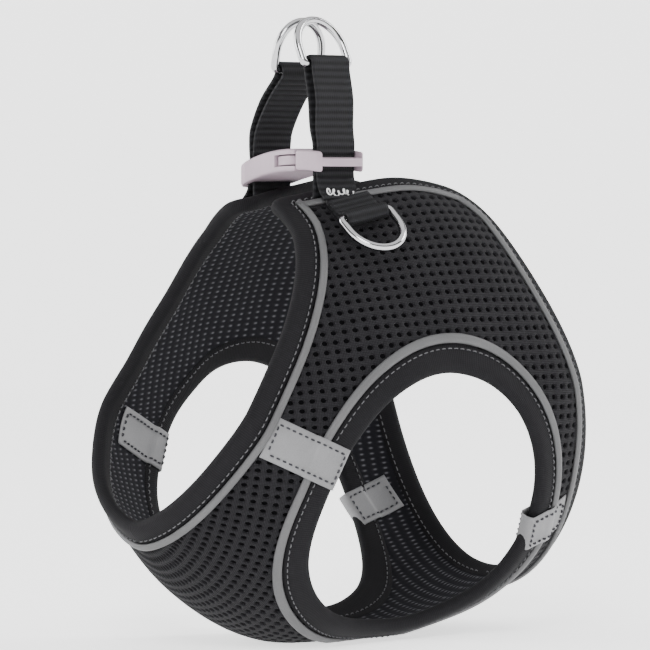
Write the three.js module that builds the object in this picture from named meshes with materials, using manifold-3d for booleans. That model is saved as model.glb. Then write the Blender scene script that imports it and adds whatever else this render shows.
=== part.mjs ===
// Step-in harness vest for a small dog. Millimetres, +Z up.
// The dog faces -Y. +X is the dog's left. The vest is mirror-symmetric about X = 0.
// The origin is on the flat of the keel, where the part rests. Below, y starts at the neck edge.
import * as THREE from 'three';
import { mergeVertices } from 'three/addons/utils/BufferGeometryUtils.js';
import Module from 'manifold-3d';

const wasm = await Module();
wasm.setup();

// ---- Driving sizes -------------------------------------------------------
const LENGTH = 185;            // keel, neck edge to rear hem
const BACK_FRONT = 57;         // y of the front end of the back opening
const BACK_LENGTH = 95;        // length of the back opening
const CHEST_HALF_WIDTH = 71;   // widest half width of the body
const BACK_HEIGHT = 182;       // height of the back edge above the keel
const KEEL_FLAT = 0.75;        // fabric mid-surface height on the flat of the keel
const NECK_DROP = 50;          // rise of the keel to the neck edge
const HEM_DROP = 22;           // rise of the keel to the rear hem
const HEM_CURL = 6;             // how far the hem turns inward at its edge
const HEM_CURL_LENGTH = 18;    // from where it starts to turn
const REST_Y = 94;             // y of the origin, behind the neck edge
const FABRIC = 3.5;            // mesh fabric thickness
const BINDING_WIDTH = 9;       // folded edge binding
const BINDING_THICK = 6;
const PIPING_INSET = BINDING_WIDTH + 2.4;  // piping, from the edge
const PIPING_WIDTH = 2.4;
const PIPING_THICK = 1.0;
const TAPE_WIDTH = 16.5;
const TAPE_THICK = 0.8;
const STRIP_HALF_WIDTH = 9;   // keel strip between the two side panels
const LEG_HALF_LENGTH = 50.5;    // leg opening, along the body
const LEG_HALF_HEIGHT = 54;
const LEG_EGG = 0.15;          // the leg opening is wider at its lower end
const GAP = 0.3;               // seat between sewn pieces
const TRIM_GAP = 0.5;          // seat of piping and tape on the faceted fabric
const CORNER = 13;             // corner rounding of the back flaps
const WEBBING_WIDTH = 18.6;
const WEBBING_THICK = 1.4;
const STRAP_Y = 83;            // strap and buckle centre
const STRAP_X = 20.6;          // strap centre at the buckle
const RING_BAR = { left: [16.2, 229], right: [3, 227] };  // outward x, and z, of each top ring's bar
const RING_WIRE = 3.2;
const RING_WIDTH = WEBBING_WIDTH + 2 * RING_WIRE + 0.6;
const RING_HEIGHT = 21;
const BUCKLE_Z = 189;
const BUCKLE_WIDTH = 28;
const BUCKLE_THICK = 9.6;
const BUCKLE_HALF_LENGTH = 27.5;
const END_BAR_THICK = 3.4;     // thin bar that the male half's strap passes behind
const MOUTH_X = 13;            // where the two buckle halves meet
const PRONG_THICK = 2.8;
const PRONG_CLEAR = 1.8;       // play above and below each prong
const TONGUE_TIP_X = -2.5;     // guide tongue, reaching into the mouth
const TONGUE_HALF_WIDTH = 3.4;
const TONGUE_HALF_THICK = 1.3;
const RUN_GAP = 0.6;           // play between moving and fixed plastic

// ---- Body surface --------------------------------------------------------
// s runs round the girth: 0 at the keel, +1 and -1 at the left and right back edges.
// t runs from the neck edge (0) to the rear hem (1).
function through(values, t) {
  let sum = 0;
  for (let i = 0; i < 4; i += 1) {
    let weight = values[i];
    for (let j = 0; j < 4; j += 1) {
      if (i !== j) {
        weight *= (3 * t - j) / (i - j);
      }
    }
    sum += weight;
  }
  return sum;
}

const HALF_WIDTH = [0.655, 0.91, 1.0, 0.93].map((f) => f * CHEST_HALF_WIDTH);
const WIDE_Z = [0.522, 0.489, 0.495, 0.571].map((f) => f * BACK_HEIGHT);
const TOP_Z = [0.956, 0.978, 1.0, 0.94].map((f) => f * BACK_HEIGHT);
const TOP_X = [0.079, 0.183, 0.254, 0.338].map((f) => f * CHEST_HALF_WIDTH);
const LOW_POWER = [1.65, 2, 2, 2];
const HIGH_POWER = [2, 1.7, 1.55, 1.45];

function smooth(k) {
  const c = Math.min(1, Math.max(0, k));
  return c * c * (3 - 2 * c);
}

function keelZ(t) {
  const front = Math.max(0, 1 - t / 0.42);
  const rear = Math.max(0, (t - 0.6) / 0.4);
  return KEEL_FLAT + NECK_DROP * front * front + HEM_DROP * rear ** 1.7;
}

function surf(s, t) {
  const a = Math.abs(s);
  const w = through(HALF_WIDTH, t);
  const wideZ = through(WIDE_Z, t);
  const topZ = through(TOP_Z, t);
  const topX = through(TOP_X, t);
  const lowZ = keelZ(t);
  let x;
  let z;
  if (a < 0.5) {
    const n = through(LOW_POWER, t);
    const sin = Math.sin(a * Math.PI);
    const cos = Math.cos(a * Math.PI);
    const r = (sin ** n + cos ** n) ** (-1 / n);
    x = w * r * sin;
    z = wideZ - (wideZ - lowZ) * r * cos;
  } else {
    const n = through(HIGH_POWER, t);
    const sin = Math.sin((a - 0.5) * Math.PI);
    const cos = Math.cos((a - 0.5) * Math.PI);
    const r = (Math.abs(sin) ** n + Math.abs(cos) ** n) ** (-1 / n);
    x = topX + (w - topX) * r * cos;
    z = wideZ + (topZ - wideZ) * r * sin;
  }
  const run = Math.max(0, (z - lowZ) / (topZ - lowZ));
  const fromHem = (1 - t) * (LENGTH + (BACK_LENGTH - LENGTH) * run * run);
  x *= 1 - (HEM_CURL / w) * Math.max(0, 1 - fromHem / HEM_CURL_LENGTH) ** 2;
  const neckLean = 0.55 * smooth(run / 0.92) + 0.45 * Math.min(1, run / 0.9);
  const lean = (1 - t) * neckLean + t * run * run;
  const y = LENGTH * t + (BACK_FRONT + (BACK_LENGTH - LENGTH) * t) * lean;
  return new THREE.Vector3(s < 0 ? -x : x, y, z);
}

const STEP = 1e-3;
function frame(s, t) {
  const ds = surf(s + STEP, t).sub(surf(s - STEP, t)).divideScalar(2 * STEP);
  const dt = surf(s, t + STEP).sub(surf(s, t - STEP)).divideScalar(2 * STEP);
  const normal = new THREE.Vector3().crossVectors(dt, ds).normalize();
  return { ds, dt, normal };
}

// Moves a surface point by a distance along a direction, staying on the surface.
function slideOn(s, t, direction, distance) {
  let p = [s, t];
  const parts = 3;
  for (let i = 0; i < parts; i += 1) {
    const f = frame(p[0], p[1]);
    const ss = f.ds.dot(f.ds);
    const st = f.ds.dot(f.dt);
    const tt = f.dt.dot(f.dt);
    const a = f.ds.dot(direction);
    const b = f.dt.dot(direction);
    const det = ss * tt - st * st;
    const step = distance / parts;
    p = [p[0] + ((a * tt - b * st) / det) * step, p[1] + ((b * ss - a * st) / det) * step];
  }
  return p;
}

function lift(p, h) {
  return surf(p[0], p[1]).addScaledVector(frame(p[0], p[1]).normal, h);
}

// ---- Mesh helpers --------------------------------------------------------
function toManifold(geometry) {
  const plain = geometry.clone();
  plain.deleteAttribute('normal');
  plain.deleteAttribute('uv');
  const welded = mergeVertices(plain, 1e-4);
  return new wasm.Manifold(new wasm.Mesh({
    numProp: 3,
    vertProperties: new Float32Array(welded.attributes.position.array),
    triVerts: new Uint32Array(welded.index.array),
  }));
}

function toGeometry(solid) {
  const mesh = solid.getMesh();
  const count = mesh.vertProperties.length / mesh.numProp;
  const positions = new Float32Array(count * 3);
  for (let i = 0; i < count; i += 1) {
    for (let k = 0; k < 3; k += 1) {
      positions[3 * i + k] = mesh.vertProperties[i * mesh.numProp + k];
    }
  }
  const geometry = new THREE.BufferGeometry();
  geometry.setAttribute('position', new THREE.BufferAttribute(positions, 3));
  geometry.setIndex(new THREE.BufferAttribute(new Uint32Array(mesh.triVerts), 1));
  geometry.computeVertexNormals();
  return geometry;
}

// A closed solid from rows of sections; each section is a loop of points.
function fromSections(sections, closed) {
  const n = sections[0].length;
  const positions = [];
  sections.forEach((row) => row.forEach((p) => positions.push(p.x, p.y, p.z)));
  const index = [];
  const last = closed ? sections.length : sections.length - 1;
  for (let i = 0; i < last; i += 1) {
    const j = (i + 1) % sections.length;
    for (let k = 0; k < n; k += 1) {
      const m = (k + 1) % n;
      index.push(i * n + k, j * n + k, j * n + m);
      index.push(i * n + k, j * n + m, i * n + m);
    }
  }
  if (!closed) {
    const end = (sections.length - 1) * n;
    for (let k = 1; k < n - 1; k += 1) {
      index.push(0, k, k + 1);
      index.push(end, end + k + 1, end + k);
    }
  }
  return solidFrom(positions, index);
}

function solidFrom(positions, index) {
  const make = (order) => new wasm.Manifold(new wasm.Mesh({
    numProp: 3,
    vertProperties: new Float32Array(positions),
    triVerts: new Uint32Array(order),
  }));
  const solid = make(index);
  if (solid.volume() > 0) {
    return solid;
  }
  const flipped = [];
  for (let i = 0; i < index.length; i += 3) {
    flipped.push(index[i], index[i + 2], index[i + 1]);
  }
  return make(flipped);
}

// ---- Edge paths ----------------------------------------------------------
// The outer edge of the whole vest, as one loop of surface points with inward directions.
function edgePath() {
  const side = [];
  const speed = frame(1, 0.1);
  const ds = CORNER / speed.ds.length();
  const dt = CORNER / speed.dt.length();
  const neckCount = 20;
  for (let i = 0; i <= neckCount; i += 1) {
    side.push([(i / neckCount) * (1 - ds), 0]);
  }
  const cornerCount = 4;
  for (let i = 1; i <= cornerCount; i += 1) {
    const a = (i / cornerCount) * Math.PI / 2;
    side.push([1 - ds + ds * Math.sin(a), dt - dt * Math.cos(a)]);
  }
  const topCount = 6;
  for (let i = 1; i <= topCount; i += 1) {
    side.push([1, dt + (i / topCount) * (1 - 2 * dt)]);
  }
  for (let i = 1; i <= cornerCount; i += 1) {
    const a = (i / cornerCount) * Math.PI / 2;
    side.push([1 - ds + ds * Math.cos(a), 1 - dt + dt * Math.sin(a)]);
  }
  const hemCount = 18;
  for (let i = 1; i <= hemCount; i += 1) {
    side.push([(1 - i / hemCount) * (1 - ds), 1]);
  }
  const mirrored = side.slice(1, -1).reverse().map(([s, t]) => [-s, t]);
  return side.concat(mirrored);
}

const EDGE = edgePath();

function edgePoint(i, inset, h) {
  const n = EDGE.length;
  const p = EDGE[i];
  const before = surf(...EDGE[(i + n - 1) % n]);
  const after = surf(...EDGE[(i + 1) % n]);
  const tangent = after.sub(before).normalize();
  const inward = new THREE.Vector3().crossVectors(frame(p[0], p[1]).normal, tangent);
  const middle = surf(0.5 * Math.sign(p[0] || 1), 0.5);
  if (Math.abs(p[0]) > 0.2 && inward.dot(middle.sub(surf(...p))) < 0) {
    inward.negate();
  }
  if (Math.abs(p[0]) <= 0.2 && inward.y * (0.5 - p[1]) < 0) {
    inward.negate();
  }
  return lift(slideOn(p[0], p[1], inward, inset), h);
}

function edgeBead(profile) {
  const sections = EDGE.map((_, i) => profile.map(([w, h]) => edgePoint(i, w, h)));
  return fromSections(sections, true);
}

// The leg opening is an oval prism, square to the mean plane of the opening.
const LEG_AXIS = new THREE.Vector3(0.933, -0.151, -0.326).normalize();
const LEG_UP = new THREE.Vector3(0.35, 0.175, 0.92).cross(LEG_AXIS).cross(LEG_AXIS).negate().normalize();
const LEG_ALONG = new THREE.Vector3().crossVectors(LEG_UP, LEG_AXIS).normalize();
const LEG_CENTRE = new THREE.Vector3(0.803 * CHEST_HALF_WIDTH, 0.554 * LENGTH, 0.3 * BACK_HEIGHT);
const LEG_POWER = 2.15;
const LEG_SAMPLES = 52;

function legOval(angle, grow) {
  const c = Math.cos(angle);
  const s = Math.sin(angle);
  const e = 2 / LEG_POWER;
  return [
    (LEG_HALF_LENGTH + grow) * Math.sign(c) * Math.abs(c) ** e * (1 - LEG_EGG * s),
    (LEG_HALF_HEIGHT + grow) * Math.sign(s) * Math.abs(s) ** e,
  ];
}

// Finds the surface point that projects on the given place in the opening's plane.
function legHit(along, up, start) {
  let p = start.slice();
  for (let i = 0; i < 30; i += 1) {
    const off = surf(p[0], p[1]).sub(LEG_CENTRE);
    const f = frame(p[0], p[1]);
    const ea = off.dot(LEG_ALONG) - along;
    const eu = off.dot(LEG_UP) - up;
    const a = f.ds.dot(LEG_ALONG);
    const b = f.dt.dot(LEG_ALONG);
    const c = f.ds.dot(LEG_UP);
    const d = f.dt.dot(LEG_UP);
    const det = a * d - b * c;
    p = [p[0] - (ea * d - eu * b) / det, p[1] - (eu * a - ea * c) / det];
  }
  return p;
}

function legBead(profile, side) {
  const sections = [];
  const middle = legHit(0, 0, [0.35, 0.5]);
  for (let i = 0; i < LEG_SAMPLES; i += 1) {
    const angle = (i / LEG_SAMPLES) * 2 * Math.PI;
    sections.push(profile.map(([w, h]) => {
      const [along, up] = legOval(angle, w);
      let p = middle;
      for (let k = 1; k <= 4; k += 1) {
        p = legHit((along * k) / 4, (up * k) / 4, p);
      }
      const point = lift(p, h);
      return new THREE.Vector3(side * point.x, point.y, point.z);
    }));
  }
  return fromSections(sections, true);
}

// ---- Fabric panels -------------------------------------------------------
const S_CELLS = 44;
const T_CELLS = 18;
function wholeSheet(thickOut, thickIn) {
  const rows = S_CELLS + 1;
  const cols = T_CELLS + 1;
  const positions = [];
  for (const h of [thickOut, -thickIn]) {
    for (let i = 0; i < rows; i += 1) {
      for (let j = 0; j < cols; j += 1) {
        const p = lift([(i / S_CELLS) * 2 - 1, j / T_CELLS], h);
        positions.push(p.x, p.y, Math.max(h > 0 ? 0 : FABRIC, p.z));
      }
    }
  }
  const at = (layer, i, j) => layer * rows * cols + i * cols + j;
  const index = [];
  for (let i = 0; i < S_CELLS; i += 1) {
    for (let j = 0; j < T_CELLS; j += 1) {
      index.push(at(0, i, j), at(0, i + 1, j), at(0, i + 1, j + 1));
      index.push(at(0, i, j), at(0, i + 1, j + 1), at(0, i, j + 1));
      index.push(at(1, i, j), at(1, i + 1, j + 1), at(1, i + 1, j));
      index.push(at(1, i, j), at(1, i, j + 1), at(1, i + 1, j + 1));
    }
  }
  const wall = (a, b) => {
    index.push(at(0, ...b), at(0, ...a), at(1, ...a));
    index.push(at(0, ...b), at(1, ...a), at(1, ...b));
  };
  for (let i = 0; i < S_CELLS; i += 1) {
    wall([i, 0], [i + 1, 0]);
    wall([i + 1, T_CELLS], [i, T_CELLS]);
  }
  for (let j = 0; j < T_CELLS; j += 1) {
    wall([S_CELLS, j], [S_CELLS, j + 1]);
    wall([0, j + 1], [0, j]);
  }
  return solidFrom(positions, index);
}

function box(x0, x1, y0, y1, z0, z1) {
  const geometry = new THREE.BoxGeometry(x1 - x0, y1 - y0, z1 - z0);
  geometry.translate((x0 + x1) / 2, (y0 + y1) / 2, (z0 + z1) / 2);
  return toManifold(geometry);
}

const FAR = 400;
const stripBox = box(-STRIP_HALF_WIDTH, STRIP_HALF_WIDTH, -FAR, FAR, -FAR, BACK_HEIGHT / 2);
const leftBox = box(STRIP_HALF_WIDTH + GAP, FAR, -FAR, FAR, -FAR, FAR);
const rightBox = box(-FAR, -STRIP_HALF_WIDTH - GAP, -FAR, FAR, -FAR, FAR);
const leftAboveBox = box(0, FAR, -FAR, FAR, BACK_HEIGHT / 2 + GAP, FAR);
const rightAboveBox = box(-FAR, 0, -FAR, FAR, BACK_HEIGHT / 2 + GAP, FAR);
const leftHalf = leftBox.add(leftAboveBox);
const rightHalf = rightBox.add(rightAboveBox);

function onFloor(solid) {
  return solid.intersect(box(-FAR, FAR, -FAR, FAR, 0, FAR));
}

const half = BINDING_THICK / 2;
const bindingProfile = [
  [0, -0.45 * half], [0, 0.45 * half], [0.16 * BINDING_WIDTH, 0.85 * half], [0.5 * BINDING_WIDTH, half],
  [BINDING_WIDTH, 0.75 * half], [BINDING_WIDTH, -0.75 * half], [0.5 * BINDING_WIDTH, -half],
  [0.16 * BINDING_WIDTH, -0.85 * half],
];
// A band between two distances from an edge; middle points follow the curve of the fabric.
function clearance(from, to, low, high) {
  const middle = [0.25, 0.5, 0.75].map((f) => from + (to - from) * f);
  const top = [from, ...middle, to].map((w) => [w, high]);
  const bottom = [to, ...middle.reverse(), from].map((w) => [w, low]);
  return top.concat(bottom);
}
const seatTop = FABRIC / 2 + TRIM_GAP;
const pipingEnd = PIPING_INSET + PIPING_WIDTH;
const pipingProfile = [
  [PIPING_INSET, seatTop], [PIPING_INSET + 0.25 * PIPING_WIDTH, seatTop + PIPING_THICK],
  [PIPING_INSET + 0.75 * PIPING_WIDTH, seatTop + PIPING_THICK], [pipingEnd, seatTop],
];

const rim = onFloor(edgeBead(bindingProfile));
const rimCutter = edgeBead(clearance(-6, BINDING_WIDTH + GAP, -6, 6));
const rimPiping = edgeBead(pipingProfile);
const legs = {};
const legCutters = {};
const legPipings = {};
for (const side of [1, -1]) {
  legs[side] = onFloor(legBead(bindingProfile, side));
  legCutters[side] = legBead(clearance(-8, BINDING_WIDTH + GAP, -7, 7), side);
  legPipings[side] = onFloor(legBead(pipingProfile, side));
}

// Fills the middle of each leg opening for the cut.
function legPlug(side) {
  const sections = [-34, 34].map((depth) => {
    const loop = [];
    for (let i = 0; i < LEG_SAMPLES; i += 1) {
      const [a, u] = legOval((i / LEG_SAMPLES) * 2 * Math.PI, -2);
      const p = LEG_CENTRE.clone().addScaledVector(LEG_ALONG, a).addScaledVector(LEG_UP, u);
      p.addScaledVector(LEG_AXIS, depth);
      loop.push(new THREE.Vector3(side * p.x, p.y, p.z));
    }
    return loop;
  });
  return fromSections(sections, false);
}

let sheet = wholeSheet(FABRIC / 2, FABRIC / 2).subtract(rimCutter);
for (const side of [1, -1]) {
  sheet = sheet.subtract(legCutters[side]).subtract(legPlug(side));
}

// Keeps the largest separate piece.
function largest(solid) {
  const pieces = solid.decompose();
  pieces.sort((a, b) => b.volume() - a.volume());
  return pieces[0];
}

const sheetStrip = largest(sheet.intersect(stripBox));
const sheetSides = { 1: largest(sheet.intersect(leftHalf)), '-1': largest(sheet.intersect(rightHalf)) };

// ---- Straps, rings and tabs ---------------------------------------------
// A closed prism over a flat outline; place turns (u, v, depth) into a point.
function prism(outline, low, high, place) {
  const n = outline.length;
  const flat = outline.map(([u, v]) => new THREE.Vector2(u, v));
  const caps = THREE.ShapeUtils.triangulateShape(flat, []);
  const positions = [];
  for (const depth of [low, high]) {
    for (const [u, v] of outline) {
      const p = place(u, v, depth);
      positions.push(p.x, p.y, p.z);
    }
  }
  const index = [];
  const turn = THREE.ShapeUtils.area(flat) > 0 ? 1 : -1;
  const add = (a, b, c) => (turn > 0 ? index.push(a, b, c) : index.push(a, c, b));
  for (const [a, b, c] of caps) {
    const ccw = THREE.ShapeUtils.area([flat[a], flat[b], flat[c]]) > 0;
    const [i, j, k] = ccw ? [a, b, c] : [a, c, b];
    index.push(i, k, j);
    index.push(i + n, j + n, k + n);
  }
  for (let i = 0; i < n; i += 1) {
    const j = (i + 1) % n;
    add(i, j, j + n);
    add(i, j + n, i + n);
  }
  return solidFrom(positions, index);
}

function extrudeY(outline, hole, width, centreY) {
  const place = (x, z, y) => new THREE.Vector3(x, y, z);
  const solid = prism(outline, centreY - width / 2, centreY + width / 2, place);
  return solid.subtract(prism(hole, centreY - width, centreY + width, place));
}

function arc(cx, cz, r, from, to, count) {
  const points = [];
  for (let i = 0; i <= count; i += 1) {
    const a = from + ((to - from) * i) / count;
    points.push([cx + r * Math.cos(a), cz + r * Math.sin(a)]);
  }
  return points;
}

const strapLow = 160;
const strapBend = BUCKLE_Z + 9;
const strapHalf = WEBBING_THICK + 0.45;
const eye = RING_WIRE / 2 + 0.45;
const crown = eye + WEBBING_THICK;
function strapSolid(side) {
  const [barX, barZ] = RING_BAR[side > 0 ? 'left' : 'right'];
  const left = STRAP_X - strapHalf;
  const right = STRAP_X + strapHalf;
  const outline = [[left, strapLow], [right + 1.6, strapLow], [right + 1.6, BUCKLE_Z - 12.5], [right, BUCKLE_Z - 8],
    [right, strapBend]];
  outline.push(...arc(barX, barZ, crown, 0.1, Math.PI + 0.25, 8));
  outline.push([left, strapBend]);
  const hole = arc(barX, barZ, eye, 0.1, Math.PI + 0.25, 8);
  hole.push([left + WEBBING_THICK, strapBend], [STRAP_X - 0.35, BUCKLE_Z - 9], [STRAP_X + 0.35, BUCKLE_Z - 9],
    [right - WEBBING_THICK, strapBend]);
  let solid = extrudeY(outline.map(([x, z]) => [side * x, z]), hole.map(([x, z]) => [side * x, z]),
    WEBBING_WIDTH, STRAP_Y);
  solid = solid.subtract(thickSkin).subtract(thickRim).subtract(thickPiping);
  return largest(solid.subtract(box(-FAR, FAR, -FAR, FAR, -FAR, BUCKLE_Z - 15.5)));
}
const thickSkin = wholeSheet(FABRIC / 2 + GAP, 14);
const thickRim = edgeBead(clearance(-1, BINDING_WIDTH + GAP, -14, half + GAP));
const thickPiping = edgeBead(clearance(PIPING_INSET - GAP, pipingEnd + GAP, 0, seatTop + PIPING_THICK + GAP));

// A welded D-ring: straight bar along +X of its own frame, bow towards +Y.
const ringRadius = RING_WIRE / 2;
function dRing() {
  const halfBar = RING_WIDTH / 2 - ringRadius;
  const bow = RING_HEIGHT - ringRadius;
  const path = [];
  const straight = bow - halfBar;
  for (let i = 0; i < 4; i += 1) {
    path.push([(halfBar - 1.1) * (i * 2 / 3 - 1), 0]);
  }
  path.push([halfBar - 0.3, 0.5], [halfBar, 2.0], [halfBar, Math.max(3.2, straight)]);
  for (let i = 1; i < 10; i += 1) {
    const a = (i / 10) * Math.PI;
    path.push([halfBar * Math.cos(a), Math.max(3.2, straight) + (bow - Math.max(3.2, straight)) * Math.sin(a)]);
  }
  path.push([-halfBar, Math.max(3.2, straight)], [-halfBar, 2.0], [-halfBar + 0.3, 0.5]);
  const n = path.length;
  const sections = path.map(([x, y], i) => {
    const [bx, by] = path[(i + n - 1) % n];
    const [ax, ay] = path[(i + 1) % n];
    const tangent = new THREE.Vector2(ax - bx, ay - by).normalize();
    const loop = [];
    for (let k = 0; k < 8; k += 1) {
      const a = ((k + 0.5) / 8) * 2 * Math.PI;
      const c = Math.cos(a) * ringRadius;
      loop.push(new THREE.Vector3(x - tangent.y * c, y + tangent.x * c, Math.sin(a) * ringRadius));
    }
    return loop;
  });
  return toGeometry(fromSections(sections, true));
}

// Places a geometry with its X, Y, Z along the given axes.
function placed(geometry, xAxis, yAxis, origin) {
  const zAxis = new THREE.Vector3().crossVectors(xAxis, yAxis).normalize();
  const matrix = new THREE.Matrix4().makeBasis(xAxis, yAxis, zAxis).setPosition(origin);
  const out = geometry.clone();
  out.applyMatrix4(matrix);
  return out;
}

const LEAN = { 1: 27, '-1': 12 };  // degrees, towards the other ring
function topRing(side) {
  const lean = THREE.MathUtils.degToRad(LEAN[side]);
  const up = new THREE.Vector3(-side * Math.sin(lean), 0, Math.cos(lean));
  const [barX, barZ] = RING_BAR[side > 0 ? 'left' : 'right'];
  const origin = new THREE.Vector3(side * barX, STRAP_Y, barZ);
  return placed(dRing(), new THREE.Vector3(0, side, 0), up, origin);
}

// The side ring hangs flat on the panel from a webbing tab.
const TAB = { s: 0.856, t: 0.318, width: 20, length: 8, tilt: 8 };
const tabFrame = frame(TAB.s, TAB.t);
const tabPoint = surf(TAB.s, TAB.t);
const tabDown = tabFrame.ds.clone().negate().normalize();
const tabAlong = new THREE.Vector3().crossVectors(tabDown, tabFrame.normal).normalize();
if (tabAlong.y < 0) {
  tabAlong.negate();
}
const tilt = THREE.MathUtils.degToRad(TAB.tilt);
const tabX = tabAlong.clone().multiplyScalar(Math.cos(tilt)).addScaledVector(tabDown, -Math.sin(tilt)).normalize();
const tabNormal = tabFrame.normal.clone();
const tabY = new THREE.Vector3().crossVectors(tabX, tabNormal).normalize();
if (tabY.z > 0) {
  tabY.negate();
}
const SIDE_RING_LIFT = FABRIC / 2 + GAP + WEBBING_THICK + 0.45 + ringRadius + 0.9;
const ringSwing = THREE.MathUtils.degToRad(4);

const sideBar = tabPoint.clone().addScaledVector(tabNormal, SIDE_RING_LIFT);
function sideRing(side) {
  const mirrored = (v) => new THREE.Vector3(side * v.x, v.y, v.z);
  const down = tabY.clone().multiplyScalar(Math.cos(ringSwing)).addScaledVector(tabNormal, Math.sin(ringSwing));
  return placed(dRing(), mirrored(tabX), mirrored(down), mirrored(sideBar));
}

// Tab: a flat foot on the panel and a loop round the ring's bar.
function tabSolid(side) {
  const outline = [];
  const inner = [];
  const foot = -SIDE_RING_LIFT + FABRIC / 2 + GAP;
  outline.push([-TAB.length - 1, foot - 6], [2.4, foot - 6], [2.4, foot], ...arc(0, 0, crown, -0.9, 2.3, 8));
  outline.push([-TAB.length - 1, foot + 2.4]);
  inner.push(...arc(0, 0, eye, 0, (Math.PI * 11) / 6, 11));
  const across = new THREE.Vector3().crossVectors(tabY, tabNormal).normalize();
  const place = (u, v, depth) => {
    const p = sideBar.clone().addScaledVector(tabY, u).addScaledVector(tabNormal, v);
    p.addScaledVector(across, depth);
    return new THREE.Vector3(side * p.x, p.y, p.z);
  };
  let solid = prism(outline, 1 - TAB.width / 2, TAB.width / 2 - 1, place);
  solid = solid.subtract(prism(inner, -TAB.width, TAB.width, place));
  solid = solid.subtract(thickSkin).subtract(thickPiping);
  return largest(solid.subtract(thickRim));
}

// ---- Reflective tapes ----------------------------------------------------
// Each runs between the two pipings, from an outer edge to the leg opening.
// Each is given by its angle round the opening, and the place where it meets the outer edge.
const FRONT_TAPE = [Math.PI * 0.955, 0.468, 0];
const REAR_TAPE = [-Math.PI * 0.01, 0.305, 1];
const tapeStart = 0.8;         // from the leg opening's edge
const tapeLow = Math.max(half + GAP, seatTop + PIPING_THICK + GAP);
const trimEnd = pipingEnd + 0.6;
const edgeZone = edgeBead(clearance(-6, trimEnd, 0, 8));
function tapeSolid(fromAngle, edgeS, edgeT, side) {
  const [along, up] = legOval(fromAngle, tapeStart);
  const start = legHit(along, up, legHit(along / 2, up / 2, [0.35, 0.5]));
  const a = surf(...start);
  const b = surf(edgeS, edgeT);
  const length = a.distanceTo(b);
  const direction = b.clone().sub(a).normalize();
  const stop = length - 2;
  const sections = [];
  const count = 6;
  for (let i = 0; i <= count; i += 1) {
    const p = slideOn(start[0], start[1], direction, (stop * i) / count);
    const across = new THREE.Vector3().crossVectors(direction, frame(p[0], p[1]).normal).normalize();
    const loop = [];
    for (const h of [tapeLow, tapeLow + TAPE_THICK]) {
      for (let k = 0; k <= 2; k += 1) {
        const w = (h === tapeLow ? k - 1 : 1 - k) * (TAPE_WIDTH / 2);
        const q = slideOn(p[0], p[1], across, w);
        const point = lift(q, h);
        loop.push(new THREE.Vector3(side * point.x, point.y, point.z));
      }
    }
    sections.push(loop);
  }
  return largest(fromSections(sections, false).subtract(edgeZone));
}

// ---- Buckle --------------------------------------------------------------
// Outline in X-Y, extruded in Z with a rounded edge.
function plate(outline, z0, z1, bevel) {
  const shape = new THREE.Shape(outline.map(([x, y]) => new THREE.Vector2(x, y)));
  const geometry = new THREE.ExtrudeGeometry(shape, {
    depth: z1 - z0 - 2 * bevel,
    bevelEnabled: bevel > 0,
    bevelThickness: bevel,
    bevelSize: bevel,
    bevelOffset: -bevel,
    bevelSegments: 2,
    steps: 1,
  });
  geometry.translate(0, STRAP_Y, z0 + bevel);
  return toManifold(geometry);
}

const slotHalf = strapHalf + RUN_GAP;
const slotHalfY = WEBBING_WIDTH / 2 + RUN_GAP;
const topOfBuckle = BUCKLE_Z + BUCKLE_THICK / 2;
const lowOfBuckle = BUCKLE_Z - BUCKLE_THICK / 2;
const wide = BUCKLE_WIDTH / 2;
const cavityHalfY = wide - 2.4;
const cavityHalfZ = PRONG_THICK / 2 + PRONG_CLEAR;

function slotBox(side) {
  const x = side * STRAP_X;
  return box(x - slotHalf, x + slotHalf, STRAP_Y - slotHalfY, STRAP_Y + slotHalfY, BUCKLE_Z - 20, BUCKLE_Z + 20);
}

function femaleShell() {
  const end = -BUCKLE_HALF_LENGTH;
  const outline = [[end + 2.5, -11.5], [end + 7, -13], [-12, -wide + 0.4], [2, -wide], [MOUTH_X, -wide + 0.6],
    [MOUTH_X, wide - 0.6], [2, wide], [-12, wide - 0.4], [end + 7, 13], [end + 2.5, 11.5], [end, 8], [end, -8]];
  let solid = plate(outline, lowOfBuckle, topOfBuckle, 1.4);
  const deep = -STRAP_X + slotHalf + 3;
  solid = solid.subtract(box(deep, MOUTH_X + 5, STRAP_Y - cavityHalfY, STRAP_Y + cavityHalfY,
    BUCKLE_Z - cavityHalfZ, BUCKLE_Z + cavityHalfZ));
  solid = solid.subtract(box(-1, MOUTH_X + 5, STRAP_Y - wide - 5, STRAP_Y + wide + 5,
    BUCKLE_Z - cavityHalfZ, BUCKLE_Z + cavityHalfZ));
  return solid.subtract(slotBox(-1));
}

function maleBase() {
  const end = BUCKLE_HALF_LENGTH;
  const start = MOUTH_X + GAP;
  const outline = [[start, -wide + 0.8], [end - 7, -13], [end - 2.5, -11.5], [end, -8], [end, 8],
    [end - 2.5, 11.5], [end - 7, 13], [start, wide - 0.8]];
  let solid = plate(outline, lowOfBuckle + 0.5, topOfBuckle - 0.5, 1.2);
  solid = solid.subtract(slotBox(1));
  for (const [from, to] of [[-BUCKLE_THICK, -END_BAR_THICK / 2], [END_BAR_THICK / 2, BUCKLE_THICK]]) {
    solid = solid.subtract(box(STRAP_X, end + 1, STRAP_Y - slotHalfY, STRAP_Y + slotHalfY,
      BUCKLE_Z + from, BUCKLE_Z + to));
  }
  const tongue = box(TONGUE_TIP_X, start + 1.5, STRAP_Y - TONGUE_HALF_WIDTH, STRAP_Y + TONGUE_HALF_WIDTH,
    BUCKLE_Z - TONGUE_HALF_THICK, BUCKLE_Z + TONGUE_HALF_THICK);
  return solid.add(tongue);
}

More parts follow.
